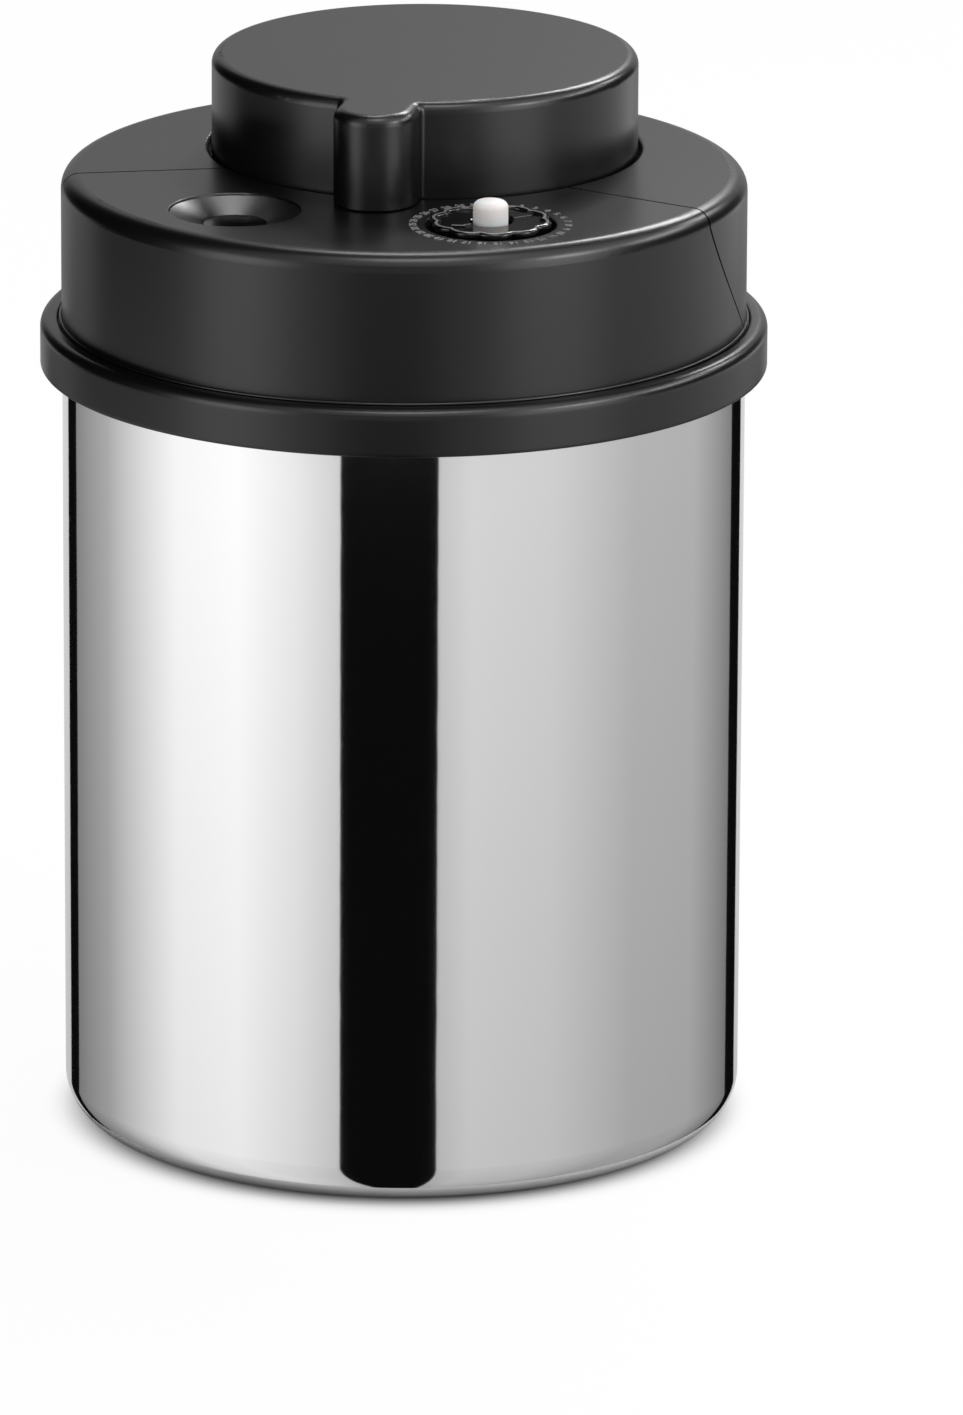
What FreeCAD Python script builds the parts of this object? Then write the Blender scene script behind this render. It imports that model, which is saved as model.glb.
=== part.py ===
"""Vacuum seal canister: a steel jar with a lift-off lid whose turning knob works an air pump.

Millimetres, +Z up. The origin is in the middle of the base and the front of the lid looks along -Y.
The knob turns a sleeve with two helical slots. A cross pin in the slots lifts the piston, whose
square stem runs in a square guide and so can't turn.
"""
import FreeCAD, Part
import math
import os
from types import SimpleNamespace

import Sketcher
from FreeCAD import Placement, Rotation, Vector

SHEET_NAME = "Sizes"

# Driving dimensions: name, value, meaning. Lengths are millimetres and angles are degrees.
SIZES = (
    # Canister
    ("body_radius", 61.1, "outer radius of the steel wall"),
    ("steel_wall", 0.8, "thickness of the steel sheet"),
    ("base_corner", 6.9, "outer radius between wall and base"),
    ("foot_width", 5.2, "width of the flat ring that the canister stands on"),
    ("base_rise", 1.2, "how far the middle of the base is pressed up"),
    ("base_slope", 2.5, "width of the slope up to the pressed middle"),
    ("rim_height", 143.5, "top of the rolled rim"),
    ("curl_radius", 1.2, "outer radius of the rolled rim's section"),
    # Lid base
    ("flange_reach", 3.9, "how far the flange ring stands out from the steel wall"),
    ("flange_overlap", 4.1, "how far the ring hangs below the top of the rim"),
    ("flange_height", 8.5, "height of the flange ring"),
    ("flange_edge", 1.8, "radius of the ring's outer top edge"),
    ("flange_lip", 0.4, "radius of the ring's outer bottom edge"),
    ("skirt_wall", 1.7, "thickness of the ring where it hangs over the rim"),
    ("plate_thickness", 2.2, "thickness of the plate over the rim"),
    ("groove_width", 0.6, "open groove between the covers and the ring"),
    ("groove_depth", 1.0, "depth of the groove that the covers stand in"),
    ("groove_edge", 0.5, "radius of the groove's outer top edge"),
    ("tub_clearance", 1.1, "gap between the steel wall and the tub"),
    ("tub_wall", 2.0, "wall of the tub that holds the pump"),
    ("tub_drop", 17.4, "how far the tub hangs below the ring"),
    ("tub_floor", 2.5, "floor of the tub"),
    ("tub_corner", 3.0, "outer radius between the tub's wall and floor"),
    ("locating_rise", 4.0, "height of the rim that centres the covers"),
    ("locating_gap", 0.3, "gap between that rim and the covers"),
    # Gasket
    ("gasket_gap", 0.1, "clearance between gasket and steel rim"),
    ("gasket_fit", 0.05, "clearance between gasket and tub"),
    ("gasket_margin", 0.4, "gap between gasket and flange ring"),
    ("gasket_lip", 0.8, "thickness of the gasket's hanging lip"),
    ("gasket_lip_drop", 4.0, "how far the lip hangs below the gasket"),
    # Covers
    ("cover_step", 0.1, "how far the covers stand out from the steel wall"),
    ("cover_height", 26.8, "height of the covers above the flange ring"),
    ("cover_wall", 2.2, "side wall of the covers"),
    ("cover_top", 2.5, "top wall of the covers"),
    ("cover_edge", 3.2, "radius of the covers' top edge"),
    ("cover_inner_edge", 0.8, "radius inside that edge"),
    ("seam_apex_share", 0.0833, "where the top seams would meet behind the middle, per cover radius"),
    ("seam_slope_share", 0.382, "run of the top seam towards the front, per unit sideways"),
    ("seam_drop", 3.2, "depth below the top at which the side seam starts to slant"),
    ("seam_front_share", 0.283, "distance of the side seam in front of the middle there, per cover radius"),
    ("seam_back_share", 0.085, "distance of the side seam behind the middle at its foot, per cover radius"),
    ("seam_bow", 66.0, "radius of the side seam's curve"),
    ("seam_gap", 0.5, "open seam between the covers"),
    ("tab_count", 6, "snap tabs, half of them on each cover"),
    ("tab_angle", 10.0, "angle that a snap tab spans"),
    ("tab_spread", 52.0, "angle between the tabs of one cover"),
    ("tab_depth", 0.9, "how far a tab stands in from the wall"),
    ("tab_height", 1.6, "height of a tab"),
    ("tab_rise", 1.2, "height of the tabs above the flange ring"),
    ("tab_play", 0.3, "room around a tab in its window"),
    # Knob
    ("knob_share", 0.626, "radius of the knob, per radius of the steel wall"),
    ("knob_rise", 17.3, "height of the knob above the covers"),
    ("lip_clearance", 0.88, "gap between the knob's lip and the rear cover's wall"),
    ("knob_gap", 0.65, "gap around the knob"),
    ("hole_edge", 0.6, "radius of the top edge of the knob's hole"),
    ("knob_wall", 2.2, "side wall of the knob"),
    ("knob_roof", 2.5, "top wall of the knob"),
    ("knob_edge", 2.0, "radius of the knob's top edge"),
    ("lip_reach", 2.45, "how far the knob's lip reaches under the covers"),
    ("lip_thickness", 2.0, "thickness of that lip"),
    ("lip_gap", 0.3, "gap between lip and covers"),
    ("post_radius", 7.35, "radius of the finger post's rounded front"),
    ("post_step", 3.75, "distance of the post's axis in front of the knob's edge"),
    ("post_gap", 0.3, "gap between post and cover"),
    ("post_core", 3.6, "radius of the hollow in the post"),
    ("post_root", 1.0, "radius where the post meets the knob"),
    # Pump
    ("clamp_margin", 6.0, "distance of the clamping posts from the pump cover's edge"),
    ("clamp_radius", 3.5, "radius of the clamping posts"),
    ("clamp_gap", 0.5, "gap between clamping posts and cylinder"),
    ("cylinder_wall", 2.0, "wall of the cylinder"),
    ("cylinder_floor", 2.5, "floor of the cylinder"),
    ("stroke_share", 0.224, "travel of the piston, per height between bore floor and knob roof"),
    ("turn_angle", 100.0, "turn of the knob for that travel"),
    ("piston_gap", 0.25, "gap between piston and bore"),
    ("piston_lift", 0.6, "gap under the piston at rest"),
    ("piston_height", 9.0, "height of the piston's rim"),
    ("piston_wall", 2.5, "wall of the piston's rim"),
    ("piston_web", 3.0, "thickness of the piston's web"),
    ("seal_height", 3.0, "height of the piston seal"),
    ("seal_depth", 1.6, "depth of the seal's groove"),
    ("seal_gap", 0.05, "running gap of a moving seal"),
    ("seat_gap", 0.02, "clearance of a piece pressed into its seat"),
    ("stem_side", 10.0, "side of the square stem"),
    ("stem_gap", 0.1, "running gap of the stem in its guide"),
    ("stem_over", 4.5, "length of the stem above the follower pin"),
    ("follower_radius", 1.5, "radius of the follower pin"),
    ("follower_margin", 0.2, "how far the pin's ends stand inside the sleeve"),
    ("guide_clearance", 1.4, "room between the raised piston and the guide"),
    ("guide_thickness", 3.0, "thickness of the stem's guide"),
    ("pump_cover_margin", 0.7, "how far the pump cover stands in from the knob's lip"),
    ("pump_cover_plate", 2.5, "thickness of the pump cover"),
    ("well_gap", 2.5, "gap between cam sleeve and the well around it"),
    ("well_wall", 2.0, "wall of that well"),
    ("spigot_wall", 2.0, "wall of the ring that centres the pump cover"),
    ("spigot_depth", 2.5, "depth of that ring"),
    ("spigot_gap", 0.2, "clearance of that ring in the cylinder"),
    ("vent_share", 0.2, "radius of a vent, per width between well and centring ring"),
    ("vent_count", 8, "vents in the pump cover"),
    ("glide_thickness", 1.2, "thickness of the glide ring"),
    ("glide_width", 2.5, "width of the glide ring"),
    ("glide_margin", 0.3, "glide ring's distance from the pump cover's edge"),
    ("glide_gap", 0.3, "running gap between glide ring and knob"),
    # Cam sleeve
    ("sleeve_clear", 1.43, "gap between the stem's corners and the cam sleeve"),
    ("sleeve_wall", 3.0, "wall of the cam sleeve"),
    ("sleeve_gap", 1.0, "gap between sleeve and guide"),
    ("sleeve_foot", 5.0, "height of the resting follower pin above the sleeve's end"),
    ("slot_play", 0.12, "room on each side of the pin in its slot"),
    ("slot_run_on", 12.0, "angle that a slot runs on past the pin's travel"),
    ("slot_roof", 2.1, "wall between the slots' upper ends and the sleeve's flange"),
    ("sleeve_flange", 2.5, "thickness of the sleeve's flange"),
    ("sleeve_flange_reach", 6.5, "how far the flange stands out from the sleeve"),
    ("boss_radius", 3.2, "radius of the bosses in the knob"),
    ("boss_step", 3.1, "distance of the bosses' axes from the sleeve"),
    ("rib_thickness", 1.4, "thickness of the knob's ribs"),
    ("rib_depth", 5.0, "depth of the knob's ribs"),
    ("rib_count", 6, "ribs under the knob's roof"),
    # Screws
    ("screw_radius", 1.4, "radius of the screws"),
    ("screw_head_radius", 2.6, "radius of the screw heads"),
    ("screw_head_height", 1.6, "height of the screw heads"),
    ("screw_length", 9.0, "length of the pump cover's screws"),
    ("screw_tip_gap", 2.0, "room between the tips of the sleeve's screws and the knob's roof"),
    ("screw_hole_gap", 0.2, "clearance of a screw in a through hole"),
    ("thread_gap", 0.03, "clearance of a screw in its pilot hole"),
    # Valves of the pump
    ("inlet_radius", 8.0, "radius of the inlet valve's umbrella"),
    ("umbrella_thickness", 0.9, "thickness of a valve's umbrella"),
    ("valve_stem", 1.2, "radius of a valve's stem"),
    ("valve_barb", 2.0, "radius of the barb under a valve's stem"),
    ("barb_length", 1.8, "length of the barb"),
    ("valve_fit", 0.05, "clearance of a valve's stem"),
    ("flow_radius", 1.3, "radius of the inlet's flow holes"),
    ("flow_margin", 1.7, "how far the inlet valve covers the flow holes"),
    ("flow_count", 6, "flow holes of the inlet"),
    ("exhaust_share", 0.314, "radius of the exhaust valve, per width of the piston's web"),
    ("exhaust_flow_share", 0.24, "radius of its flow holes, per width between its stem and its edge"),
    ("inlet_pocket", 1.7, "depth of the pocket over the inlet valve"),
    ("pocket_margin", 1.0, "room around the inlet valve in that pocket"),
    ("port_margin", 2.5, "how far the filter covers the port in the tub's floor"),
    ("ring_seal_step", 3.5, "distance of the cylinder seal from the port"),
    ("ring_seal_width", 2.0, "width of the cylinder seal"),
    ("ring_seal_depth", 1.2, "depth of the cylinder seal's groove"),
    ("ring_seal_gap", 0.1, "clearance beside the cylinder seal"),
    # Filter
    ("filter_radius", 12.0, "radius of the intake filter"),
    ("filter_thickness", 1.5, "thickness of the intake filter"),
    ("filter_cap_thickness", 1.6, "thickness of the filter cap"),
    ("filter_fit", 0.15, "clearance of filter and cap in their collar"),
    ("filter_wall", 1.6, "wall of the collar"),
    ("filter_drop", 3.5, "height of the collar"),
    ("filter_hole_radius", 1.5, "radius of the filter cap's holes"),
    ("filter_hole_share", 0.625, "radius of the circle that they stand on, per filter radius"),
    ("filter_hole_count", 10, "holes in the filter cap"),
    # Indicator and dial, side by side in the front cover
    ("eye_ring_share", 0.684, "distance of indicator and dial from the axis, per cover radius"),
    ("eye_angle", 33.3, "angle of indicator and dial from the middle plane"),
    ("eye_share", 0.1882, "radius of the dish and of the dial's recess, per radius of the steel wall"),
    ("dish_depth", 2.4, "depth of the dish"),
    ("eye_edge", 0.35, "radius of the top edge of dish and recess"),
    ("eye_boss_wall", 2.0, "wall of the bosses around dish and recess"),
    ("dish_floor", 2.2, "thickness of the cover under the dish"),
    ("indicator_radius", 5.5, "radius of the indicator's button"),
    ("indicator_gap", 0.2, "gap around the button"),
    ("indicator_shoulder", 1.4, "how far the button's lower part stands out"),
    ("indicator_height", 9.0, "height of the button's lower part"),
    ("indicator_bore_gap", 0.3, "gap around the lower part"),
    ("indicator_stop_gap", 0.3, "gap between lower part and cover"),
    ("indicator_wall", 2.0, "wall of the indicator's tube"),
    ("indicator_spring_room", 10.0, "length of the indicator spring at rest"),
    ("indicator_turns", 5, "turns of the indicator spring"),
    ("spring_wire", 0.4, "radius of the springs' wire"),
    ("spring_gap", 0.1, "clearance at a spring's ends"),
    ("button_seal_height", 2.0, "height of the indicator's seal"),
    ("button_seal_depth", 1.2, "depth of that seal's groove"),
    ("button_seal_rise", 2.0, "height of that groove above the button's end"),
    ("web_thickness", 2.0, "web that closes a tube"),
    ("web_port_radius", 1.5, "air port in the indicator's web"),
    ("core_wall", 2.4, "wall around a tube's core below the web"),
    # Release valve
    ("pin_radius", 3.1, "radius of the release pin"),
    ("pin_rise", 4.6, "height of the release pin above the covers"),
    ("pin_edge", 1.3, "radius of the pin's top edge"),
    ("pin_length", 17.6, "length of the pin above its collar's end"),
    ("pin_shoulder", 1.1, "how far the pin's collar stands out"),
    ("pin_collar_height", 4.0, "height of the pin's collar"),
    ("pin_collar_gap", 0.2, "gap around the collar"),
    ("pin_stem", 1.5, "radius of the pin's stem"),
    ("pin_stem_gap", 0.5, "air gap around the stem"),
    ("release_wall", 2.2, "wall of the release valve's tube"),
    ("release_spring_room", 9.0, "length of the release spring at rest"),
    ("release_turns", 4, "turns of the release spring"),
    ("release_seal_width", 2.7, "width of the release seal"),
    ("release_seal_height", 1.8, "height of the release seal"),
    ("release_clip_width", 1.5, "width of the release clip"),
    ("release_clip_height", 1.0, "height of the release clip"),
    ("stem_tail", 0.6, "length of the stem below the clip"),
    ("release_core_gap", 0.8, "room around the release seal"),
    # Date dial
    ("dial_recess_depth", 2.2, "depth of the dial's recess"),
    ("dial_boss_floor", 2.7, "thickness of the cover under the dial"),
    ("dial_gap", 0.7, "gap between the dial's lobes and the recess"),
    ("dial_notch", 0.9, "depth of the notches between the dial's lobes"),
    ("dial_lobes", 10, "lobes of the dial"),
    ("dial_wall", 1.3, "wall of the dial's rim"),
    ("dial_floor", 2.4, "floor of the dial"),
    ("dial_rise", 1.0, "height of the dial's rim above the covers"),
    ("dial_lift", 0.3, "gap under the dial"),
    ("dial_hub_wall", 1.5, "wall of the dial's hub"),
    ("dial_hub_gap", 0.1, "running gap of the hub"),
    ("dial_bore_gap", 0.6, "gap between hub and release pin"),
    ("dial_clip_width", 2.2, "width of the dial's clip"),
    ("dial_clip_height", 1.1, "height of the dial's clip"),
    ("dial_tail", 0.5, "length of the hub below its clip"),
    ("pointer_angle", 42.0, "angle of the dial's pointer from the lid's sideways direction"),
    ("pointer_width", 1.3, "width of the dial's pointer"),
    ("pointer_rise", 0.4, "height of the pointer above the dial's floor"),
    # Tools of the cuts
    ("overrun", 1.0, "how far a cutting tool runs past the solid"),
)


class Size:
    """A length that carries its number and the sheet expression that gives it."""

    def __init__(self, number, text):
        self.number = number
        self.text = text

    def __add__(self, other):
        return Size(self.number + other.number, f"({self.text} + {other.text})")

    def __sub__(self, other):
        return Size(self.number - other.number, f"({self.text} - {other.text})")

    def __mul__(self, share):
        share = share if isinstance(share, Size) else Size(share, repr(share))
        return Size(self.number * share.number, f"({self.text} * {share.text})")

    def __truediv__(self, share):
        share = share if isinstance(share, Size) else Size(share, repr(share))
        return Size(self.number / share.number, f"({self.text} / {share.text})")

    def __neg__(self):
        return Size(-self.number, f"(-{self.text})")


ZERO = Size(0.0, "0")
HALF_TURN = 180.0
FULL_TURN = 360.0


def leg(long_side, short_side):
    """The third side of a right triangle with this long side and short side."""
    number = math.sqrt(long_side.number**2 - short_side.number**2)
    return Size(number, f"sqrt({long_side.text}^2 - {short_side.text}^2)")


def slant_side(first_side, second_side):
    """The long side of a right triangle with these two short sides."""
    number = math.hypot(first_side.number, second_side.number)
    return Size(number, f"sqrt({first_side.text}^2 + {second_side.text}^2)")


def left(radius):
    """An arc that turns left on its way to a corner."""
    return radius, 1


def right(radius):
    """An arc that turns right on its way to a corner."""
    return radius, -1


doc = FreeCAD.newDocument("VacuumCanister")
nodes = {}


def read_sizes():
    """Write the driving dimensions to the sheet and hand them back by name."""
    sheet = doc.addObject("Spreadsheet::Sheet", SHEET_NAME)
    for row, (alias, value, meaning) in enumerate(SIZES, start=1):
        sheet.set(f"A{row}", f"'{meaning}")
        sheet.set(f"B{row}", str(value))
        sheet.setAlias(f"B{row}", alias)
    doc.recompute()
    sizes = {}
    for alias, _, _ in SIZES:
        sizes[alias] = Size(float(getattr(sheet, alias)), f"{SHEET_NAME}.{alias}")
    return SimpleNamespace(**sizes)


def bind(item, **sizes):
    """Tie properties of an object to sheet expressions."""
    for name, size in sizes.items():
        item.setExpression(name, size.text)


def place(item, x=ZERO, y=ZERO, z=ZERO):
    """Tie an object's place to sheet expressions."""
    item.setExpression("Placement.Base.x", x.text)
    item.setExpression("Placement.Base.y", y.text)
    item.setExpression("Placement.Base.z", z.text)
    return item


def node(label, item):
    """Name a finished sub-part."""
    item.Label = label
    nodes[label] = item
    return item


def origin_plane(body, role):
    """The plane of a body's own origin with this role."""
    return next(plane for plane in body.Origin.OriginFeatures if plane.Role == role)


def arc_between(start, end, radius, turn):
    """The short arc from start to end, as sketch geometry that always runs anticlockwise."""
    across = end - start
    chord = across.Length
    rise = math.sqrt(max(radius**2 - chord**2 / 4, 0.0))
    sideways = Vector(-across.y, across.x, 0) * (turn * rise / chord)
    centre = (start + end) * 0.5 + sideways
    first, last = (start, end) if turn > 0 else (end, start)
    from_angle = math.atan2(first.y - centre.y, first.x - centre.x)
    to_angle = math.atan2(last.y - centre.y, last.x - centre.x)
    return Part.ArcOfCircle(Part.Circle(centre, Vector(0, 0, 1), radius), from_angle, to_angle)


def draw_outline(sketch, corners):
    """Draw a closed outline whose corners, and the radii of the arcs between them, follow the sheet."""
    count = len(corners)
    points = [Vector(corner[0].number, corner[1].number, 0) for corner in corners]
    ends = []
    radii = []
    for index in range(count):
        following = corners[(index + 1) % count]
        start, end = points[index], points[(index + 1) % count]
        if len(following) == 3:
            radius, turn = following[2]
            curve = sketch.addGeometry(arc_between(start, end, radius.number, turn), False)
            ends.append((curve, 1, 2) if turn > 0 else (curve, 2, 1))
            radii.append((curve, radius))
        else:
            line = sketch.addGeometry(Part.LineSegment(start, end), False)
            ends.append((line, 1, 2))
    for index in range(count):
        curve, _, last = ends[index]
        next_curve, first, _ = ends[(index + 1) % count]
        sketch.addConstraint(Sketcher.Constraint("Coincident", curve, last, next_curve, first))
    for index, corner in enumerate(corners):
        curve, first, _ = ends[index]
        for kind, axis, size in (("DistanceX", -2, corner[0]), ("DistanceY", -1, corner[1])):
            if size is ZERO:
                sketch.addConstraint(Sketcher.Constraint("PointOnObject", curve, first, axis))
                continue
            rule = Sketcher.Constraint(kind, -1, 1, curve, first, size.number)
            tie_constraint(sketch, sketch.addConstraint(rule), f"{kind}{index}", size)
    for curve, radius in radii:
        rule = Sketcher.Constraint("Radius", curve, radius.number)
        tie_constraint(sketch, sketch.addConstraint(rule), f"Radius{curve}", radius)


def tie_constraint(sketch, index, name, size):
    """Name a sketch constraint and tie it to the sheet."""
    sketch.renameConstraint(index, name)
    sketch.setExpression(f"Constraints.{name}", size.text)


def add_sketch(body, role, corners):
    """A sketch on one of a body's own planes with this outline."""
    sketch = body.newObject("Sketcher::SketchObject", "Outline")
    sketch.AttachmentSupport = (origin_plane(body, role), [""])
    sketch.MapMode = "FlatFace"
    draw_outline(sketch, corners)
    return sketch


def add_turn(body, kind, corners):
    """Turn an outline of (radius, height) corners about the body's upright axis."""
    sketch = add_sketch(body, "XZ_Plane", corners)
    turn = body.newObject(f"PartDesign::{kind}", kind)
    turn.Profile = sketch
    turn.ReferenceAxis = (sketch, ["V_Axis"])
    turn.Angle = FULL_TURN
    return turn


def turned(corners, x=ZERO, y=ZERO):
    """A body turned about the upright axis through this point."""
    body = doc.addObject("PartDesign::Body", "Turned")
    add_turn(body, "Revolution", corners)
    return place(body, x, y)


def padded(role, corners, length, x=ZERO, y=ZERO, z=ZERO):
    """A body drawn out from an outline on one of its planes."""
    body = doc.addObject("PartDesign::Body", "Padded")
    pad = body.newObject("PartDesign::Pad", "Pad")
    pad.Profile = add_sketch(body, role, corners)
    bind(pad, Length=length)
    body.Tip = pad
    return place(body, x, y, z)


def rod(radius, low, high, x=ZERO, y=ZERO):
    """An upright cylinder between two heights."""
    item = doc.addObject("Part::Cylinder", "Rod")
    bind(item, Radius=radius, Height=high - low)
    return place(item, x, y, low)


def ring(outer, inner, low, high, x=ZERO, y=ZERO):
    """A flat ring between two heights."""
    return turned([(inner, low), (outer, low), (outer, high), (inner, high)], x, y)


def block(width, depth, low, high, x=ZERO, y=ZERO):
    """An upright block, centred on this point, between two heights."""
    item = doc.addObject("Part::Box", "Block")
    bind(item, Length=width, Width=depth, Height=high - low)
    return place(item, x - width / 2, y - depth / 2, low)


def fuse(*items):
    """One solid from several."""
    item = doc.addObject("Part::MultiFuse", "Fuse")
    item.Shapes = list(items)
    item.Refine = True
    return item


def cut(base, *tools):
    """A solid with tools taken away from it."""
    item = doc.addObject("Part::Cut", "Cut")
    item.Base = base
    item.Tool = tools[0] if len(tools) == 1 else fuse(*tools)
    item.Refine = True
    return item


def group(*items):
    """Several separate solids as one sub-part."""
    item = doc.addObject("Part::Compound", "Group")
    item.Links = list(items)
    return item


def circle_places(radius, count, first_angle, x=ZERO, y=ZERO):
    """Points spread evenly on a circle."""
    places = []
    for index in range(count):
        angle = math.radians(first_angle + FULL_TURN * index / count)
        places.append((x + radius * math.cos(angle), y + radius * math.sin(angle)))
    return places


def rods_on_circle(radius, low, high, places):
    """One upright cylinder at each of these points."""
    return [rod(radius, low, high, x, y) for x, y in places]


def sector(outer, inner, low, high, angle, start):
    """A piece of a ring about the main axis that spans an angle from a start angle, both in degrees."""
    parts = []
    for radius in (outer, inner):
        part = rod(radius, low, high)
        bind(part, Angle=angle)
        part.Placement = Placement(Vector(0, 0, 0), Rotation(Vector(0, 0, 1), start))
        place(part, z=low)
        parts.append(part)
    return cut(*parts)


def helix_edges(radius, rise, turns, low):
    """A helix as pairs of arcs that meet smoothly, one pair for each half turn."""
    steps = 2 * turns
    climb = rise / (2 * math.pi * turns)
    lead = math.hypot(radius, climb)

    def station(index):
        angle = index * math.pi
        point = Vector(radius * math.cos(angle), radius * math.sin(angle), low + climb * angle)
        heading = Vector(-radius * math.sin(angle), radius * math.cos(angle), climb) / lead
        return point, heading

    edges = []
    for index in range(steps):
        start, out_of = station(index)
        end, into = station(index + 1)
        span = end - start
        along = span.dot(out_of + into)
        spread = 1 - out_of.dot(into)
        reach = (math.sqrt(along**2 + 2 * spread * span.dot(span)) - along) / (2 * spread)
        first_knee, last_knee = start + out_of * reach, end - into * reach
        middle = (first_knee + last_knee) * 0.5
        for tail, knee, tip in ((start, first_knee, middle), (middle, last_knee, end)):
            chord_middle = (tail + tip) * 0.5
            half_turn = (knee - tail).getAngle(tip - tail)
            crown = chord_middle + (knee - chord_middle) * (math.tan(half_turn / 2) / math.tan(half_turn))
            edges.append(Part.Arc(tail, crown, tip).toShape())
    return edges


def spring(radius, wire, low, high, turns, x, y):
    """A coil spring that stands between two heights."""
    bottom = low.number + wire.number
    rise = high.number - wire.number - bottom
    path = Part.Wire(helix_edges(radius.number, rise, int(turns.number), bottom))
    section = Part.Wire(
        Part.makeCircle(wire.number, path.Vertexes[0].Point, path.Edges[0].tangentAt(0))
    )
    item = doc.addObject("Part::Feature", "Spring")
    item.Shape = path.makePipeShell([section], True, False)
    item.Placement = Placement(Vector(x.number, y.number, 0), Rotation())
    return item


s = read_sizes()

# Heights
flange_bottom = s.rim_height - s.flange_overlap
flange_top = flange_bottom + s.flange_height
lid_top = flange_top + s.cover_height
knob_top = lid_top + s.knob_rise
plate_under = flange_top - s.plate_thickness
groove_floor = flange_top - s.groove_depth
floor_under = flange_bottom - s.tub_drop
floor_top = floor_under + s.tub_floor
cover_under = lid_top - s.cover_top
lip_top = cover_under - s.lip_gap
lip_under = lip_top - s.lip_thickness
pump_cover_top = lip_under - s.glide_gap - s.glide_thickness
pump_cover_under = pump_cover_top - s.pump_cover_plate
bore_floor = floor_top + s.cylinder_floor
roof_under = knob_top - s.knob_roof
stroke = (roof_under - bore_floor) * s.stroke_share
piston_under = bore_floor + s.piston_lift
piston_top = piston_under + s.piston_height
guide_under = piston_top + stroke + s.guide_clearance
guide_top = guide_under + s.guide_thickness
sleeve_under = guide_top + s.sleeve_gap
follower_level = sleeve_under + s.sleeve_foot
dish_level = lid_top - s.dish_depth
dish_boss_under = dish_level - s.dish_floor
dial_level = lid_top - s.dial_recess_depth
dial_boss_under = dial_level - s.dial_boss_floor

# Radii and places of canister, lid and knob
steel_inner = s.body_radius - s.steel_wall
tub_radius = steel_inner - s.tub_clearance
tub_inner = tub_radius - s.tub_wall
flange_radius = s.body_radius + s.flange_reach
skirt_inner = flange_radius - s.skirt_wall
cover_radius = s.body_radius + s.cover_step
cover_inner = cover_radius - s.cover_wall
locating_radius = cover_inner - s.locating_gap
groove_radius = cover_radius + s.groove_width
knob_radius = s.body_radius * s.knob_share
knob_hole = knob_radius + s.knob_gap
lip_radius = knob_radius + s.lip_reach
knob_y = cover_inner - s.lip_clearance - lip_radius
post_reach = knob_radius + s.post_step

# Radii of the pump, from the knob's lip inwards
pump_cover_radius = lip_radius - s.pump_cover_margin
clamp_ring = pump_cover_radius - s.clamp_margin
cylinder_radius = clamp_ring - s.clamp_radius - s.clamp_gap
bore_radius = cylinder_radius - s.cylinder_wall
clamp_places = circle_places(clamp_ring, 4, 45.0, ZERO, knob_y)
pilot_radius = s.screw_radius + s.thread_gap
screw_hole_radius = s.screw_radius + s.screw_hole_gap
port_radius = s.filter_radius - s.port_margin

# Cam sleeve, from the piston's stem outwards and from the follower pin upwards
stem_half = s.stem_side / 2
sleeve_bore = slant_side(stem_half, stem_half) + s.sleeve_clear
sleeve_radius = sleeve_bore + s.sleeve_wall
sleeve_flange_radius = sleeve_radius + s.sleeve_flange_reach
boss_places = circle_places(sleeve_radius + s.boss_step, 3, 90.0, ZERO, knob_y)
slot_slope = stroke / (s.turn_angle * (math.pi / HALF_TURN))
slot_half = (s.follower_radius + s.slot_play) * (slant_side(sleeve_bore, slot_slope) / sleeve_bore)
run_on_rise = slot_slope * s.slot_run_on * (math.pi / HALF_TURN)
flange_under = follower_level + stroke + run_on_rise + slot_half + s.slot_roof
flange_over = flange_under + s.sleeve_flange

# Indicator, release valve and dial
eye_turn = math.radians(s.eye_angle.number)
eye_ring = cover_radius * s.eye_ring_share
eye_radius = s.body_radius * s.eye_share
eye_boss_radius = eye_radius + s.eye_boss_wall
eye_y = -(eye_ring * math.cos(eye_turn))
dial_x = eye_ring * math.sin(eye_turn)
indicator_x = -dial_x
indicator_body = s.indicator_radius + s.indicator_shoulder
indicator_bore = indicator_body + s.indicator_bore_gap
pin_collar_radius = s.pin_radius + s.pin_shoulder
release_bore = pin_collar_radius + s.pin_collar_gap
stem_hole = s.pin_stem + s.pin_stem_gap
release_seal_radius = s.pin_stem + s.release_seal_width
dial_bore = s.pin_radius + s.dial_bore_gap
dial_hub = dial_bore + s.dial_hub_wall
dial_peak = eye_radius - s.dial_gap
dial_valley = dial_peak - s.dial_notch


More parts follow.
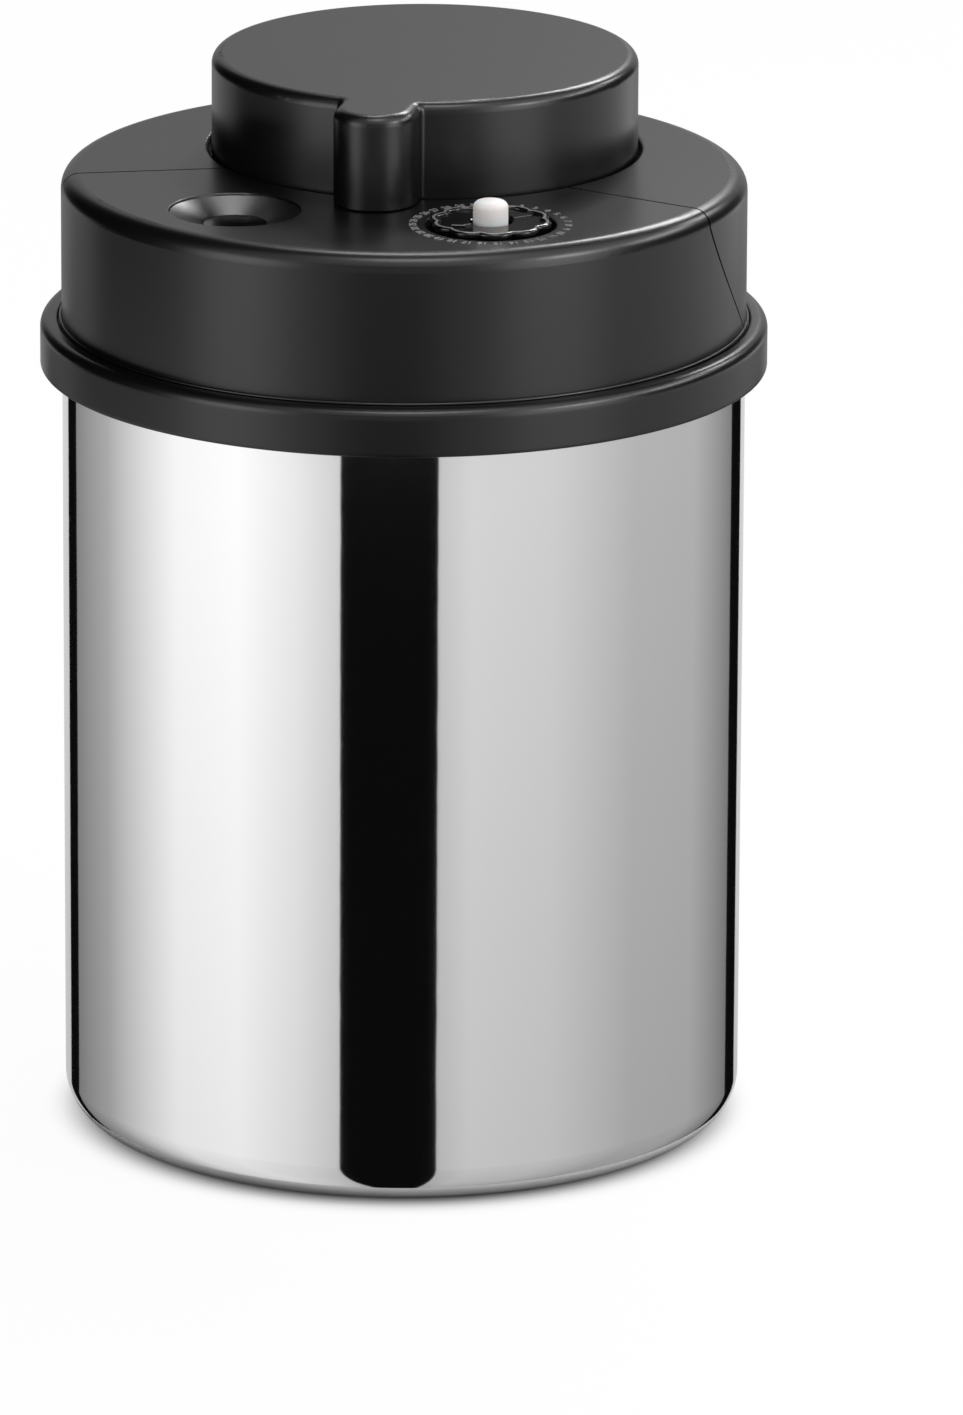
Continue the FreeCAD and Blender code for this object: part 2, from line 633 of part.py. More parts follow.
def build_canister():
    """Deep-drawn steel jar with a pressed base and a rim rolled outwards."""
    curl_middle = steel_inner + s.curl_radius
    curl_level = s.rim_height - s.curl_radius
    curl_bore = s.curl_radius - s.steel_wall
    corner_start = s.body_radius - s.base_corner
    foot_radius = corner_start - s.foot_width
    slope_start = foot_radius - s.base_slope
    outline = [
        (ZERO, s.base_rise),
        (slope_start, s.base_rise),
        (foot_radius, ZERO),
        (corner_start, ZERO),
        (s.body_radius, s.base_corner, left(s.base_corner)),
        (s.body_radius, curl_level),
        (curl_middle, curl_level + curl_bore, right(curl_bore)),
        (curl_middle + curl_bore, curl_level, right(curl_bore)),
        (curl_middle, curl_level - curl_bore, right(curl_bore)),
        (curl_middle, curl_level - s.curl_radius),
        (curl_middle + s.curl_radius, curl_level, left(s.curl_radius)),
        (curl_middle, s.rim_height, left(s.curl_radius)),
        (steel_inner, curl_level, left(s.curl_radius)),
        (steel_inner, s.base_corner),
        (corner_start, s.steel_wall, right(s.base_corner - s.steel_wall)),
        (foot_radius, s.steel_wall),
        (slope_start, s.base_rise + s.steel_wall),
        (ZERO, s.base_rise + s.steel_wall),
    ]
    node("canister_body", turned(outline))


def tab_starts():
    """Start angles of the snap tabs: those of the front cover, then those of the rear cover."""
    half = int(s.tab_count.number) // 2
    starts = []
    for middle in (-HALF_TURN / 2, HALF_TURN / 2):
        for index in range(half):
            step = index - (half - 1) / 2
            starts.append(middle + step * s.tab_spread.number - s.tab_angle.number / 2)
    return starts


def build_lid_base():
    """Moulded lid base: flange ring, plate, tub, posts and the tubes of indicator and release valve."""
    locating_top = flange_top + s.locating_rise
    inner_corner = s.tub_corner - s.tub_wall
    outline = [
        (ZERO, floor_under),
        (tub_radius - s.tub_corner, floor_under),
        (tub_radius, floor_under + s.tub_corner, left(s.tub_corner)),
        (tub_radius, plate_under),
        (skirt_inner, plate_under),
        (skirt_inner, flange_bottom),
        (flange_radius - s.flange_lip, flange_bottom),
        (flange_radius, flange_bottom + s.flange_lip, left(s.flange_lip)),
        (flange_radius, flange_top - s.flange_edge),
        (flange_radius - s.flange_edge, flange_top, left(s.flange_edge)),
        (groove_radius + s.groove_edge, flange_top),
        (groove_radius, flange_top - s.groove_edge, left(s.groove_edge)),
        (groove_radius, groove_floor),
        (locating_radius, groove_floor),
        (locating_radius, locating_top),
        (tub_inner, locating_top),
        (tub_inner, floor_top + inner_corner),
        (tub_inner - inner_corner, floor_top, right(inner_corner)),
        (ZERO, floor_top),
    ]
    shell = turned(outline)
    posts = rods_on_circle(s.clamp_radius, floor_under, pump_cover_under, clamp_places)
    indicator_tube = indicator_bore + s.indicator_wall
    indicator_top = dish_boss_under - s.indicator_stop_gap
    indicator_seat = indicator_top - s.indicator_height - s.indicator_spring_room
    release_core = release_seal_radius + s.release_core_gap
    release_tube = release_core + s.release_wall
    release_seat = lid_top + s.pin_rise - s.pin_length - s.release_spring_room
    release_top = release_seat + s.release_spring_room + s.pin_collar_height
    collar_bore = s.filter_radius + s.filter_fit
    collar_under = floor_under - s.filter_drop
    solid = fuse(
        shell,
        *posts,
        rod(indicator_tube, floor_under, indicator_top, indicator_x, eye_y),
        rod(release_tube, floor_under, release_top, dial_x, eye_y),
        ring(collar_bore + s.filter_wall, collar_bore, collar_under, floor_under + s.overrun, ZERO, knob_y),
    )
    below = floor_under - s.overrun
    above = lid_top + s.overrun
    pilot_floor = pump_cover_under - s.screw_length
    tools = rods_on_circle(pilot_radius, pilot_floor, above, clamp_places)
    tools += [
        rod(port_radius, below, floor_top + s.overrun, ZERO, knob_y),
        rod(indicator_bore, indicator_seat, above, indicator_x, eye_y),
        rod(indicator_tube - s.core_wall, below, indicator_seat - s.web_thickness, indicator_x, eye_y),
        rod(s.web_port_radius, below, above, indicator_x, eye_y),
        rod(release_bore, release_seat, above, dial_x, eye_y),
        rod(release_core, below, release_seat - s.web_thickness, dial_x, eye_y),
        rod(stem_hole, below, above, dial_x, eye_y),
    ]
    window_low = flange_top + s.tab_rise - s.tab_play
    window_high = flange_top + s.tab_rise + s.tab_height + s.tab_play
    play_angle = s.tab_play / tub_inner * (HALF_TURN / math.pi)
    for start in tab_starts():
        tools.append(
            sector(
                cover_inner,
                tub_inner - s.overrun,
                window_low,
                window_high,
                s.tab_angle + play_angle * 2,
                start - play_angle.number,
            )
        )
    node("lid_base", cut(solid, *tools))


def build_gasket():
    """Silicone gasket that hangs on the tub and lies on the steel rim."""
    inner = tub_radius + s.gasket_fit
    under = s.rim_height + s.gasket_gap
    outline = [
        (inner, under - s.gasket_lip_drop),
        (inner + s.gasket_lip, under - s.gasket_lip_drop),
        (inner + s.gasket_lip, under),
        (skirt_inner - s.gasket_margin, under),
        (skirt_inner - s.gasket_margin, plate_under),
        (inner, plate_under),
    ]
    node("lid_gasket", turned(outline))


def front_region(shift):
    """Everything in front of the seam, moved back by a shift."""
    reach = flange_radius * 2
    apex = cover_radius * s.seam_apex_share
    side = apex - reach * s.seam_slope_share
    wedge = padded(
        "XY_Plane",
        [(ZERO, apex), (-reach, side), (-reach, -reach), (reach, -reach), (reach, side)],
        knob_top,
        y=shift,
    )
    slant_top = lid_top - s.seam_drop
    slant_start = cover_radius * s.seam_front_share
    slant_foot = cover_radius * s.seam_back_share
    swept_sides = padded(
        "YZ_Plane",
        [
            (-slant_start, slant_top, right(s.seam_bow)),
            (-reach, slant_top),
            (-reach, ZERO),
            (slant_foot, ZERO),
            (slant_foot, groove_floor),
        ],
        reach * 2,
        x=-reach,
        y=shift,
    )
    return fuse(wedge, swept_sides)


def eased_sink(rim, foot, floor_level, edge, x, y):
    """A tool that sinks a round recess, or a cone, into the covers' top and rounds its rim."""
    above = lid_top + s.overrun
    return turned(
        [
            (ZERO, floor_level),
            (foot, floor_level),
            (rim, lid_top - edge),
            (rim + edge, lid_top, right(edge)),
            (rim + edge, above),
            (ZERO, above),
        ],
        x,
        y,
    )


def build_covers():
    """Front and rear cover, parted along a seam that opens the knob's hole."""
    outline = [
        (ZERO, cover_under),
        (cover_inner - s.cover_inner_edge, cover_under),
        (cover_inner, cover_under - s.cover_inner_edge, right(s.cover_inner_edge)),
        (cover_inner, groove_floor),
        (cover_radius, groove_floor),
        (cover_radius, lid_top - s.cover_edge),
        (cover_radius - s.cover_edge, lid_top, left(s.cover_edge)),
        (ZERO, lid_top),
    ]
    tab_low = flange_top + s.tab_rise
    tabs = []
    for start in tab_starts():
        tabs.append(
            sector(
                cover_inner + s.cover_wall / 2,
                cover_inner - s.tab_depth,
                tab_low,
                tab_low + s.tab_height,
                s.tab_angle,
                start,
            )
        )
    solid = fuse(
        turned(outline),
        *tabs,
        rod(eye_boss_radius, dish_boss_under, cover_under + s.overrun, indicator_x, eye_y),
        rod(eye_boss_radius, dial_boss_under, cover_under + s.overrun, dial_x, eye_y),
    )
    above = lid_top + s.overrun
    button_hole = s.indicator_radius + s.indicator_gap
    shell = cut(
        solid,
        eased_sink(knob_hole, knob_hole, groove_floor, s.hole_edge, ZERO, knob_y),
        eased_sink(eye_radius, button_hole, dish_level, s.eye_edge, indicator_x, eye_y),
        rod(button_hole, groove_floor, above, indicator_x, eye_y),
        eased_sink(eye_radius, eye_radius, dial_level, s.eye_edge, dial_x, eye_y),
        rod(dial_hub + s.dial_hub_gap, groove_floor, above, dial_x, eye_y),
    )
    front = doc.addObject("Part::Common", "FrontCover")
    front.Base = shell
    front.Tool = front_region(ZERO)
    front.Refine = True
    node("front_cover", front)
    node("rear_cover", cut(shell, front_region(s.seam_gap)))


def same(first, second):
    """Whether two measures agree to the kernel's tolerance."""
    return abs(first - second) < Part.Precision.confusion()


def edge_names(shape, wanted):
    """Names of the edges whose bounding box passes a test."""
    names = []
    for index, edge in enumerate(shape.Edges, start=1):
        if wanted(edge.BoundBox):
            names.append(f"Edge{index}")
    return names


def build_knob():
    """Turn knob with its finger post, hollow below, with bosses for the cam sleeve and stiffening ribs."""
    post_under = lid_top + s.post_gap
    root = leg(knob_radius, s.post_radius)
    outline = [
        (s.post_radius, -root),
        (knob_radius, ZERO, left(knob_radius)),
        (ZERO, knob_radius, left(knob_radius)),
        (-knob_radius, ZERO, left(knob_radius)),
        (-s.post_radius, -root, left(knob_radius)),
        (-s.post_radius, -post_reach),
        (ZERO, -(post_reach + s.post_radius), left(s.post_radius)),
        (s.post_radius, -post_reach, left(s.post_radius)),
    ]
    body = doc.addObject("PartDesign::Body", "KnobShell")
    pad = body.newObject("PartDesign::Pad", "KnobPad")
    sketch = add_sketch(body, "XY_Plane", outline)
    sketch.setExpression("AttachmentOffset.Base.z", post_under.text)
    pad.Profile = sketch
    bind(pad, Length=knob_top - post_under)
    doc.recompute()

    def at_root(box):
        upright = box.ZLength > box.XLength + box.YLength
        return upright and same(abs(box.Center.x), s.post_radius.number) and same(box.Center.y, -root.number)

    def at_top(box):
        return same(box.ZMin, knob_top.number) and same(box.ZMax, knob_top.number)

    post_root = body.newObject("PartDesign::Fillet", "PostRoot")
    post_root.Base = (pad, edge_names(pad.Shape, at_root))
    bind(post_root, Radius=s.post_root)
    doc.recompute()
    edge_round = body.newObject("PartDesign::Fillet", "TopEdge")
    edge_round.Base = (post_root, edge_names(post_root.Shape, at_top))
    bind(edge_round, Radius=s.knob_edge)
    inner = knob_radius - s.knob_wall
    add_turn(
        body,
        "Revolution",
        [
            (inner, lip_under),
            (lip_radius, lip_under),
            (lip_radius, lip_top),
            (knob_radius, lip_top),
            (knob_radius, post_under + s.overrun),
            (inner, post_under + s.overrun),
        ],
    )
    hollow = add_turn(
        body,
        "Groove",
        [(ZERO, lip_under), (inner, lip_under), (inner, roof_under), (ZERO, roof_under)],
    )
    body.Tip = hollow
    place(body, ZERO, knob_y)
    bosses = rods_on_circle(s.boss_radius, flange_over, roof_under + s.overrun, boss_places)
    ribs = []
    rib_length = inner - sleeve_flange_radius + s.overrun
    for index in range(int(s.rib_count.number)):
        angle = FULL_TURN * index / s.rib_count.number
        rib = doc.addObject("Part::Box", "Rib")
        bind(rib, Length=rib_length, Width=s.rib_thickness, Height=s.rib_depth + s.overrun)
        rib.Placement = Placement(Vector(0, 0, 0), Rotation(Vector(0, 0, 1), angle))
        turn = math.radians(angle)
        along, aside = sleeve_flange_radius, s.rib_thickness / 2
        place(
            rib,
            along * math.cos(turn) + aside * math.sin(turn),
            knob_y + along * math.sin(turn) - aside * math.cos(turn),
            roof_under - s.rib_depth,
        )
        ribs.append(rib)
    post_core = rod(
        s.post_core,
        post_under - s.overrun,
        roof_under,
        ZERO,
        knob_y - post_reach,
    )
    pilots = rods_on_circle(pilot_radius, flange_over - s.overrun, roof_under, boss_places)
    node("turn_knob", cut(fuse(body, *bosses, *ribs), post_core, *pilots))


def build_cam_sleeve():
    """Sleeve with two opposite helical slots and a flange that is screwed under the knob's roof."""
    body = doc.addObject("PartDesign::Body", "CamSleeve")
    add_turn(
        body,
        "Revolution",
        [
            (sleeve_bore, sleeve_under),
            (sleeve_radius, sleeve_under),
            (sleeve_radius, flange_under),
            (sleeve_flange_radius, flange_under),
            (sleeve_flange_radius, flange_over),
            (sleeve_bore, flange_over),
        ],
    )
    doc.recompute()
    slot_low = follower_level - run_on_rise - slot_half
    slot_high = follower_level - run_on_rise + slot_half
    slot_near = sleeve_bore - s.overrun
    slot_far = sleeve_radius + s.overrun
    sketch = add_sketch(
        body,
        "XZ_Plane",
        [(slot_near, slot_low), (slot_far, slot_low), (slot_far, slot_high), (slot_near, slot_high)],
    )
    slot = body.newObject("PartDesign::SubtractiveHelix", "Slot")
    slot.Profile = sketch
    slot.ReferenceAxis = (sketch, ["V_Axis"])
    slot.Mode = "height-turns-angle"
    bind(
        slot,
        Height=stroke + run_on_rise * 2,
        Turns=(s.turn_angle + s.slot_run_on * 2) / FULL_TURN,
    )
    doc.recompute()
    pair = body.newObject("PartDesign::PolarPattern", "SlotPair")
    pair.Originals = [slot]
    pair.Axis = (sketch, ["V_Axis"])
    pair.Angle = FULL_TURN
    pair.Occurrences = 2
    body.Tip = pair
    body.Placement = Placement(Vector(0, 0, 0), Rotation(Vector(0, 0, 1), -s.slot_run_on.number))
    place(body, ZERO, knob_y)
    holes = rods_on_circle(screw_hole_radius, flange_under - s.overrun, flange_over + s.overrun, boss_places)
    node("cam_sleeve", cut(body, *holes))


def screw(length, head_level, x, y, upwards):
    """A screw with a round head on the outer side of a level, and a shank on the other side."""
    if upwards:
        outline = [
            (ZERO, head_level - s.screw_head_height),
            (s.screw_head_radius, head_level - s.screw_head_height),
            (s.screw_head_radius, head_level),
            (s.screw_radius, head_level),
            (s.screw_radius, head_level + length),
            (ZERO, head_level + length),
        ]
    else:
        outline = [
            (ZERO, head_level - length),
            (s.screw_radius, head_level - length),
            (s.screw_radius, head_level - s.screw_head_height),
            (s.screw_head_radius, head_level),
            (ZERO, head_level),
        ]
    return turned(outline, x, y)


def build_screws():
    """Sunk screws of the pump cover and round-head screws of the cam sleeve."""
    clamping = [screw(s.screw_length, pump_cover_top, x, y, False) for x, y in clamp_places]
    node("pump_cover_screws", group(*clamping))
    holding_length = roof_under - s.screw_tip_gap - flange_under
    holding = [screw(holding_length, flange_under, x, y, True) for x, y in boss_places]
    node("cam_sleeve_screws", group(*holding))


def build_pump_cover():
    """Cover that clamps the cylinder, guides the stem and carries the glide ring."""
    well_radius = sleeve_radius + s.well_gap
    well_outer = well_radius + s.well_wall
    spigot_outer = bore_radius - s.spigot_gap
    spigot_inner = spigot_outer - s.spigot_wall
    body = turned(
        [
            (ZERO, guide_under),
            (well_outer, guide_under),
            (well_outer, pump_cover_under),
            (spigot_inner, pump_cover_under),
            (spigot_inner, pump_cover_under - s.spigot_depth),
            (spigot_outer, pump_cover_under - s.spigot_depth),
            (spigot_outer, pump_cover_under),
            (pump_cover_radius, pump_cover_under),
            (pump_cover_radius, pump_cover_top),
            (well_radius, pump_cover_top),
            (well_radius, guide_top),
            (ZERO, guide_top),
        ],
        ZERO,
        knob_y,
    )
    guide_side = s.stem_side + s.stem_gap * 2
    tools = [block(guide_side, guide_side, guide_under - s.overrun, guide_top + s.overrun, ZERO, knob_y)]
    vent_ring = (well_outer + spigot_inner) / 2
    vent_radius = (spigot_inner - well_outer) * s.vent_share
    vents = circle_places(vent_ring, int(s.vent_count.number), 0.0, ZERO, knob_y)
    low, high = pump_cover_under - s.overrun, pump_cover_top + s.overrun
    tools += rods_on_circle(vent_radius, low, high, vents)
    sink = s.screw_head_height
    for x, y in clamp_places:
        tools.append(
            turned(
                [
                    (ZERO, low),
                    (screw_hole_radius, low),
                    (screw_hole_radius, pump_cover_top - sink),
                    (s.screw_head_radius + s.screw_hole_gap, pump_cover_top),
                    (s.screw_head_radius + s.screw_hole_gap, high),
                    (ZERO, high),
                ],
                x,
                y,
            )
        )
    node("pump_cover", cut(body, *tools))
    glide_outer = pump_cover_radius - s.glide_margin
    node(
        "knob_glide_ring",
        ring(
            glide_outer,
            glide_outer - s.glide_width,
            pump_cover_top,
            pump_cover_top + s.glide_thickness,
            ZERO,
            knob_y,
        ),
    )


def build_cylinder():
    """Pump cylinder with its inlet holes, and the seal under its floor."""
    groove_in = port_radius + s.ring_seal_step
    groove_out = groove_in + s.ring_seal_width
    groove_top = floor_top + s.ring_seal_depth
    body = turned(
        [
            (ZERO, floor_top),
            (groove_in, floor_top),
            (groove_in, groove_top),
            (groove_out, groove_top),
            (groove_out, floor_top),
            (cylinder_radius, floor_top),
            (cylinder_radius, pump_cover_under),
            (bore_radius, pump_cover_under),
            (bore_radius, bore_floor),
            (ZERO, bore_floor),
        ],
        ZERO,
        knob_y,
    )
    low, high = floor_top - s.overrun, bore_floor + s.overrun
    flow_ring = s.inlet_radius - s.flow_margin - s.flow_radius
    flow = circle_places(flow_ring, int(s.flow_count.number), 0.0, ZERO, knob_y)
    holes = rods_on_circle(s.flow_radius, low, high, flow)
    holes.append(rod(s.valve_stem + s.valve_fit, low, high, ZERO, knob_y))
    node("pump_cylinder", cut(body, *holes))
    gap = s.ring_seal_gap
    node("cylinder_seal", ring(groove_out - gap, groove_in + gap, floor_top, groove_top, ZERO, knob_y))


def umbrella(radius, seat, wall, x, y):
    """A rubber umbrella valve: a disc on its seat, a stem through the wall and a barb below the wall."""
    barb_top = seat - wall - s.valve_fit
    return turned(
        [
            (ZERO, barb_top - s.barb_length),
            (s.valve_stem, barb_top - s.barb_length),
            (s.valve_barb, barb_top),
            (s.valve_stem, barb_top),
            (s.valve_stem, seat),
            (radius, seat),
            (radius, seat + s.umbrella_thickness / 2),
            (s.valve_barb, seat + s.umbrella_thickness),
            (ZERO, seat + s.umbrella_thickness),
        ],
        x,
        y,
    )


def build_piston():
    """Piston with its square stem, seal, exhaust valve and follower pin."""
    outer = bore_radius - s.piston_gap
    inner = outer - s.piston_wall - s.seal_depth
    groove_low = piston_under + (s.piston_height - s.seal_height) / 2
    groove_high = groove_low + s.seal_height
    groove_radius_in = outer - s.seal_depth
    web_top = piston_under + s.piston_web + s.inlet_pocket
    pocket_radius = s.inlet_radius + s.pocket_margin
    crown = turned(
        [
            (ZERO, piston_under + s.inlet_pocket),
            (pocket_radius, piston_under + s.inlet_pocket),
            (pocket_radius, piston_under),
            (outer, piston_under),
            (outer, groove_low),
            (groove_radius_in, groove_low),
            (groove_radius_in, groove_high),
            (outer, groove_high),
            (outer, piston_top),
            (inner, piston_top),
            (inner, web_top),
            (ZERO, web_top),
        ],
        ZERO,
        knob_y,
    )
    stem_top = follower_level + s.stem_over
    stem = block(s.stem_side, s.stem_side, piston_under + s.inlet_pocket, stem_top, ZERO, knob_y)
    exhaust_y = knob_y - (pocket_radius + inner) / 2
    exhaust_radius = (inner - pocket_radius) * s.exhaust_share
    stem_hole_radius = s.valve_stem + s.valve_fit
    flow_ring = (stem_hole_radius + exhaust_radius) / 2
    flow_radius = (exhaust_radius - stem_hole_radius) * s.exhaust_flow_share
    low, high = piston_under - s.overrun, web_top + s.overrun
    flow = circle_places(flow_ring, 4, 45.0, ZERO, exhaust_y)
    tools = rods_on_circle(flow_radius, low, high, flow)
    tools.append(rod(stem_hole_radius, low, high, ZERO, exhaust_y))
    barb_room = s.barb_length + s.valve_fit + s.piston_lift
    tools.append(rod(exhaust_radius, low, piston_under + barb_room, ZERO, exhaust_y))
    tools.append(follower(s.follower_radius + s.seat_gap, s.stem_side + s.overrun))
    node("piston", cut(fuse(crown, stem), *tools))
    node(
        "piston_seal",
        ring(
            bore_radius - s.seal_gap,
            groove_radius_in + s.seat_gap,
            groove_low + s.seal_gap,
            groove_high - s.seal_gap,
            ZERO,
            knob_y,
        ),
    )
    exhaust_wall = web_top - piston_under - barb_room
    node("exhaust_valve", umbrella(exhaust_radius, web_top, exhaust_wall, ZERO, exhaust_y))
    node("follower_pin", follower(s.follower_radius, (sleeve_radius - s.follower_margin) * 2))
    node("inlet_valve", umbrella(s.inlet_radius, bore_floor, s.cylinder_floor, ZERO, knob_y))


def follower(radius, length):
    """A cylinder that lies across the stem at the height of the resting follower pin."""
    item = doc.addObject("Part::Cylinder", "Follower")
    bind(item, Radius=radius, Height=length)
    item.Placement = Placement(Vector(0, 0, 0), Rotation(Vector(0, 1, 0), HALF_TURN / 2))
    return place(item, -length / 2, knob_y, follower_level)


def build_filter():
    """Filter pad under the port and the perforated cap that holds it in its collar."""
    pad_under = floor_under - s.filter_thickness
    node("intake_filter", rod(s.filter_radius, pad_under, floor_under, ZERO, knob_y))
    cap_under = pad_under - s.filter_cap_thickness
    cap = rod(s.filter_radius, cap_under, pad_under, ZERO, knob_y)
    hole_ring = s.filter_radius * s.filter_hole_share
    places = circle_places(hole_ring, int(s.filter_hole_count.number), 0.0, ZERO, knob_y)
    low, high = cap_under - s.overrun, pad_under + s.overrun
    places += circle_places(hole_ring / 2, 4, 0.0, ZERO, knob_y)
    holes = rods_on_circle(s.filter_hole_radius, low, high, places)
    node("filter_cap", cut(cap, *holes))


def build_indicator():
    """Vacuum indicator: a button that sinks in its tube against a spring."""
    shoulder = dish_boss_under - s.indicator_stop_gap
    end = shoulder - s.indicator_height
    groove_low = end + s.button_seal_rise
    groove_high = groove_low + s.button_seal_height
    groove_in = indicator_body - s.button_seal_depth
    node(
        "indicator_button",
        turned(
            [
                (ZERO, end),
                (indicator_body, end),
                (indicator_body, groove_low),
                (groove_in, groove_low),
                (groove_in, groove_high),
                (indicator_body, groove_high),
                (indicator_body, shoulder),
                (s.indicator_radius, shoulder),
                (s.indicator_radius, dish_level),
                (ZERO, dish_level),
            ],
            indicator_x,
            eye_y,
        ),
    )
    node(
        "indicator_seal",
        ring(
            indicator_bore - s.seal_gap,
            groove_in + s.seat_gap,
            groove_low + s.seal_gap,
            groove_high - s.seal_gap,
            indicator_x,
            eye_y,
        ),
    )
    seat = end - s.indicator_spring_room
    coil = spring(
        (s.web_port_radius + indicator_bore) / 2,
        s.spring_wire,
        seat + s.spring_gap,
        end - s.spring_gap,
        s.indicator_turns,
        indicator_x,
        eye_y,
    )
    node("indicator_spring", coil)


def build_release_valve():
    """Release pin, the seal and clip on its stem, and its return spring."""
    tip = lid_top + s.pin_rise
    collar_low = tip - s.pin_length
    collar_high = collar_low + s.pin_collar_height
    seat = collar_low - s.release_spring_room
    web_under = seat - s.web_thickness
    seal_low = web_under - s.release_seal_height
    clip_low = seal_low - s.release_clip_height
    tail = clip_low - s.stem_tail
    node(
        "release_pin",
        turned(
            [
                (ZERO, tail),
                (s.pin_stem, tail),
                (s.pin_stem, collar_low),
                (pin_collar_radius, collar_low),
                (pin_collar_radius, collar_high),
                (s.pin_radius, collar_high),
                (s.pin_radius, tip - s.pin_edge),
                (s.pin_radius - s.pin_edge, tip, left(s.pin_edge)),
                (ZERO, tip),
            ],
            dial_x,
            eye_y,
        ),
    )
    bore = s.pin_stem + s.seat_gap
    node("release_seal", ring(release_seal_radius, bore, seal_low, web_under, dial_x, eye_y))
    node("release_clip", ring(s.pin_stem + s.release_clip_width, bore, clip_low, seal_low, dial_x, eye_y))
    coil = spring(
        (stem_hole + release_bore) / 2,
        s.spring_wire,
        seat + s.spring_gap,
        collar_low - s.spring_gap,
        s.release_turns,
        dial_x,
        eye_y,
    )
    node("release_spring", coil)


def lobed_face(peak, valley, lobes):
    """A flat flower: arcs that bulge outwards and meet in notches."""
    edges = []
    step = 2 * math.pi / lobes
    for index in range(lobes):
        notch, crest, next_notch = (index - 0.5) * step, index * step, (index + 0.5) * step
        points = [(valley, notch), (peak, crest), (valley, next_notch)]
        corners = [Vector(radius * math.cos(angle), radius * math.sin(angle), 0) for radius, angle in points]
        edges.append(Part.Arc(*corners).toShape())
    return Part.Face(Part.Wire(edges))


def build_dial():
    """Scalloped date dial that turns around the release pin, and the clip that holds it."""
    under = dial_level + s.dial_lift
    floor_level = under + s.dial_floor
    rim_top = lid_top + s.dial_rise
    lobes = int(s.dial_lobes.number)
    rim = lobed_face(dial_peak.number, dial_valley.number, lobes)
    well = lobed_face((dial_peak - s.dial_wall).number, (dial_valley - s.dial_wall).number, lobes)
    cup = rim.extrude(Vector(0, 0, (rim_top - under).number))
    well.translate(Vector(0, 0, s.dial_floor.number))
    cup = cup.cut(well.extrude(Vector(0, 0, (rim_top - under).number)))
    scallops = doc.addObject("Part::Feature", "Scallops")
    scallops.Shape = cup
    scallops.Placement = Placement(Vector(dial_x.number, eye_y.number, under.number), Rotation())
    clip_high = dial_boss_under - s.dial_lift
    clip_low = clip_high - s.dial_clip_height
    hub = rod(dial_hub, clip_low - s.dial_tail, floor_level, dial_x, eye_y)
    along, aside = dial_valley - s.dial_wall / 2, s.pointer_width / 2
    pointer = doc.addObject("Part::Box", "Pointer")
    bind(pointer, Length=along * 2, Width=s.pointer_width, Height=s.dial_floor + s.pointer_rise)
    pointer.Placement = Placement(Vector(0, 0, 0), Rotation(Vector(0, 0, 1), s.pointer_angle.number))
    turn = math.radians(s.pointer_angle.number)
    place(
        pointer,
        dial_x - along * math.cos(turn) + aside * math.sin(turn),
        eye_y - along * math.sin(turn) - aside * math.cos(turn),
        under,
    )
    bore = rod(dial_bore, clip_low - s.dial_tail - s.overrun, rim_top + s.overrun, dial_x, eye_y)
    node("date_dial", cut(fuse(scallops, hub, pointer), bore))
    clip_inner = dial_hub + s.seat_gap
    node("dial_clip", ring(clip_inner + s.dial_clip_width, clip_inner, clip_low, clip_high, dial_x, eye_y))


def check_document():
    """Stop if an object failed or a sub-part isn't a sound solid."""
    for item in doc.Objects:
        if "Invalid" in item.State or "Error" in item.State:
            raise RuntimeError(f"{item.Name} ({item.Label}) failed: {item.State}")
    for label, item in nodes.items():
        shape = item.Shape
        if shape.isNull() or not shape.isValid() or not shape.Solids:
            raise RuntimeError(f"{label} is not a sound solid")


def main():
    """Build every sub-part, check them and write one file for each."""
    build_canister()
    build_lid_base()
    build_gasket()
    build_covers()
    build_knob()
    build_cam_sleeve()
    build_screws()
    build_pump_cover()
    build_cylinder()
    build_piston()
    build_filter()
    build_indicator()
    build_release_valve()
    build_dial()
    doc.recompute()
    check_document()
    os.makedirs("parts", exist_ok=True)
    for label, item in nodes.items():
        item.Shape.exportStep(os.path.join("parts", f"{label}.step"))
        print(f"{label}: {len(item.Shape.Solids)} solid, {item.Shape.Volume:.0f} mm3")


main()
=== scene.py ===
"""Looks of a vacuum seal canister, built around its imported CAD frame.

Sizes in the classes are millimetres and degrees. Meshes are metres in the frame's own axes: +Z up, the
front of the lid along -Y, the origin in the middle of the base.
"""
from __future__ import annotations

import logging
import math
from dataclasses import dataclass, field
from enum import Enum

import bmesh
import bpy
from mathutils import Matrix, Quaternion, Vector

